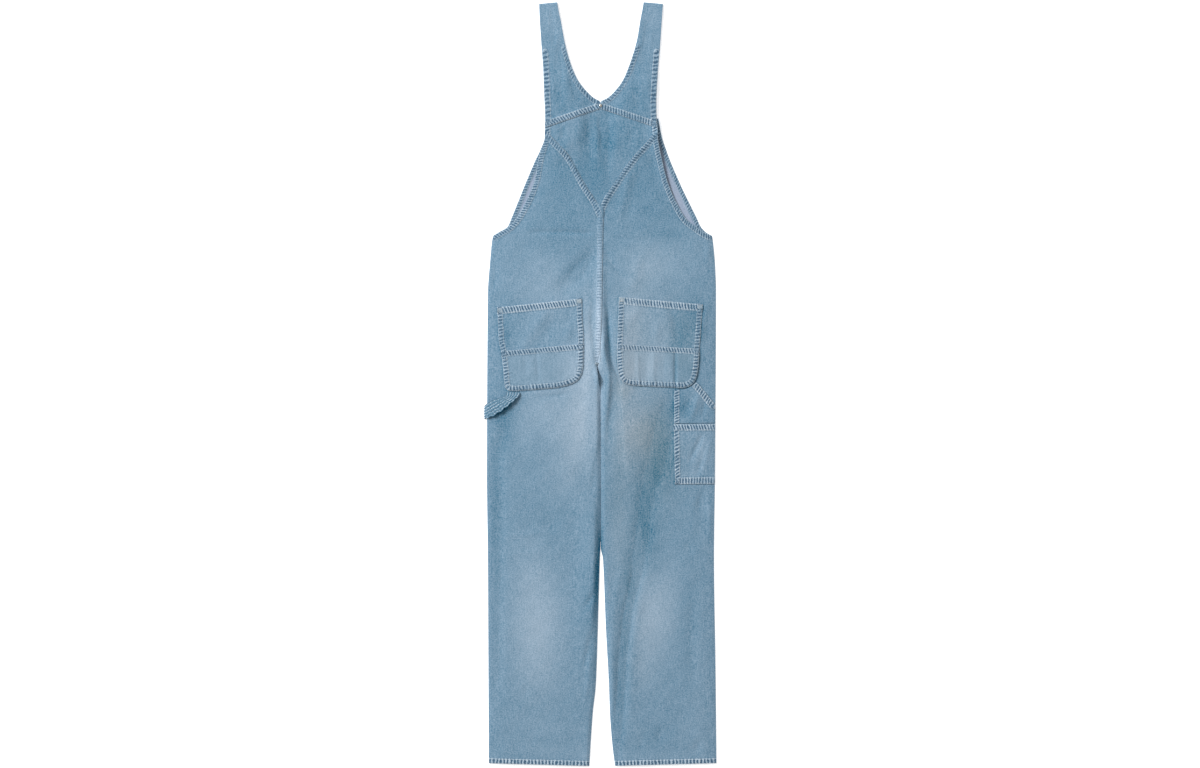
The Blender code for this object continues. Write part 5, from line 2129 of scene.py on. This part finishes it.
@dataclass
class Fasteners:
    """Buckles, buttons and the rivet at the point of the neck."""

    finishes: Finishes
    rivet_place: Point = (0.6, 556.6)
    rivet_lift: float = 0.2
    spokes: int = 24

    RIVET_PROFILE = ((3.3, -0.9), (3.3, 0.3), (2.9, 0.75), (2.0, 1.1), (1.0, 1.28), (0.0, 1.32))

    def build(self) -> None:
        """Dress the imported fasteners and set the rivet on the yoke's cloth."""
        for name in ("buckle_left", "buckle_right", "button_left", "button_right"):
            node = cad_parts[name]
            node.data.materials.clear()
            node.data.materials.append(self.finishes.metal)
        straps = Straps(self.finishes)
        x, y = (np.array([[value]]) for value in self.rivet_place)
        rise = max(float(SeamField.of(x, y, straps.seams(side)).rise.max()) for side in Side)
        level = float(straps.level(x, y)[0, 0]) + straps.thickness + rise + self.rivet_lift
        turns = np.linspace(0.0, 2 * math.pi, self.spokes, endpoint=False)
        points = [(self.rivet_place[0] + radius * math.cos(turn),
                   self.rivet_place[1] + radius * math.sin(turn), level + height)
                  for radius, height in self.RIVET_PROFILE for turn in turns]
        count = self.spokes
        faces = [[ring * count + k, ring * count + (k + 1) % count,
                  (ring + 1) * count + (k + 1) % count, (ring + 1) * count + k]
                 for ring in range(len(self.RIVET_PROFILE) - 2) for k in range(count)]
        last = (len(self.RIVET_PROFILE) - 1) * count
        faces += [[last - count + k, last - count + (k + 1) % count, last] for k in range(count)]
        faces.append(list(range(count))[::-1])
        rivet = mesh_object("neck_rivet_dome", np.array(points[:last + 1]), faces, {},
                            self.finishes.metal)
        dress(rivet, Slot.NICKEL, "neck_rivet")


@dataclass
class Studio:
    """White floor, soft key light from the upper left, and the camera straight above."""

    frame_centre: Point = (-0.8, 0.4)
    floor_half: float = 6000.0
    floor_drop: float = 0.2
    view_width: float = 2400.0
    lens: float = 85.0
    sensor: float = 36.0
    key_power: float = 585.0
    key_size: float = 2900.0
    key_place: tuple[float, float, float] = (-4700.0, 3500.0, 4900.0)
    world_strength: float = 0.44

    def build(self) -> None:
        """Make the floor, the lights and the camera."""
        mesh = bpy.data.meshes.new("studio_floor")
        corners = [(x * self.floor_half * MM, y * self.floor_half * MM, -self.floor_drop * MM)
                   for x, y in ((-1, -1), (1, -1), (1, 1), (-1, 1))]
        mesh.from_pydata(corners, [], [(0, 1, 2, 3)])
        mesh.materials.append(FloorFinish().build())
        in_scene("studio_floor", mesh)
        lamp = bpy.data.lights.new("key_light", "AREA")
        lamp.energy = self.key_power
        lamp.shape = "SQUARE"
        lamp.size = self.key_size * MM
        key = in_scene("key_light", lamp)
        key.location = Vector(self.key_place) * MM
        key.rotation_euler = (-key.location).to_track_quat("-Z", "Y").to_euler()
        scene = bpy.context.scene
        scene.world = world = bpy.data.worlds.new("studio")
        world.use_nodes = True
        Graph(world.node_tree).feed(world.node_tree.nodes["Background"], {
            "Color": colour(1.0, 1.0, 1.0), "Strength": self.world_strength})
        view = bpy.data.cameras.new("camera")
        view.lens = self.lens
        view.sensor_width = self.sensor
        view.clip_end = 50.0
        scene.camera = camera = in_scene("camera", view)
        distance = self.view_width * self.lens / self.sensor
        camera.location = Vector((*self.frame_centre, distance)) * MM
        scene.view_settings.view_transform = "Standard"
        scene.view_settings.look = "None"


def main() -> None:
    """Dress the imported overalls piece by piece."""
    logging.basicConfig(level=logging.INFO, format="%(name)s %(message)s")
    Studio().build()
    finishes = Finishes()
    legs = BackLegs(finishes)
    Bib(finishes).build()
    for side in Side:
        FrontLegs(finishes).build(side, legs)
        legs.build(side)
        Straps(finishes).build(side)
        BackPockets(finishes).build(side)
    Insert(finishes).build()
    pockets = ToolPockets(finishes)
    pockets.upper()
    pockets.lower()
    HammerLoop(finishes).build()
    Fasteners(finishes).build()


if __name__ == "__main__":
    main()
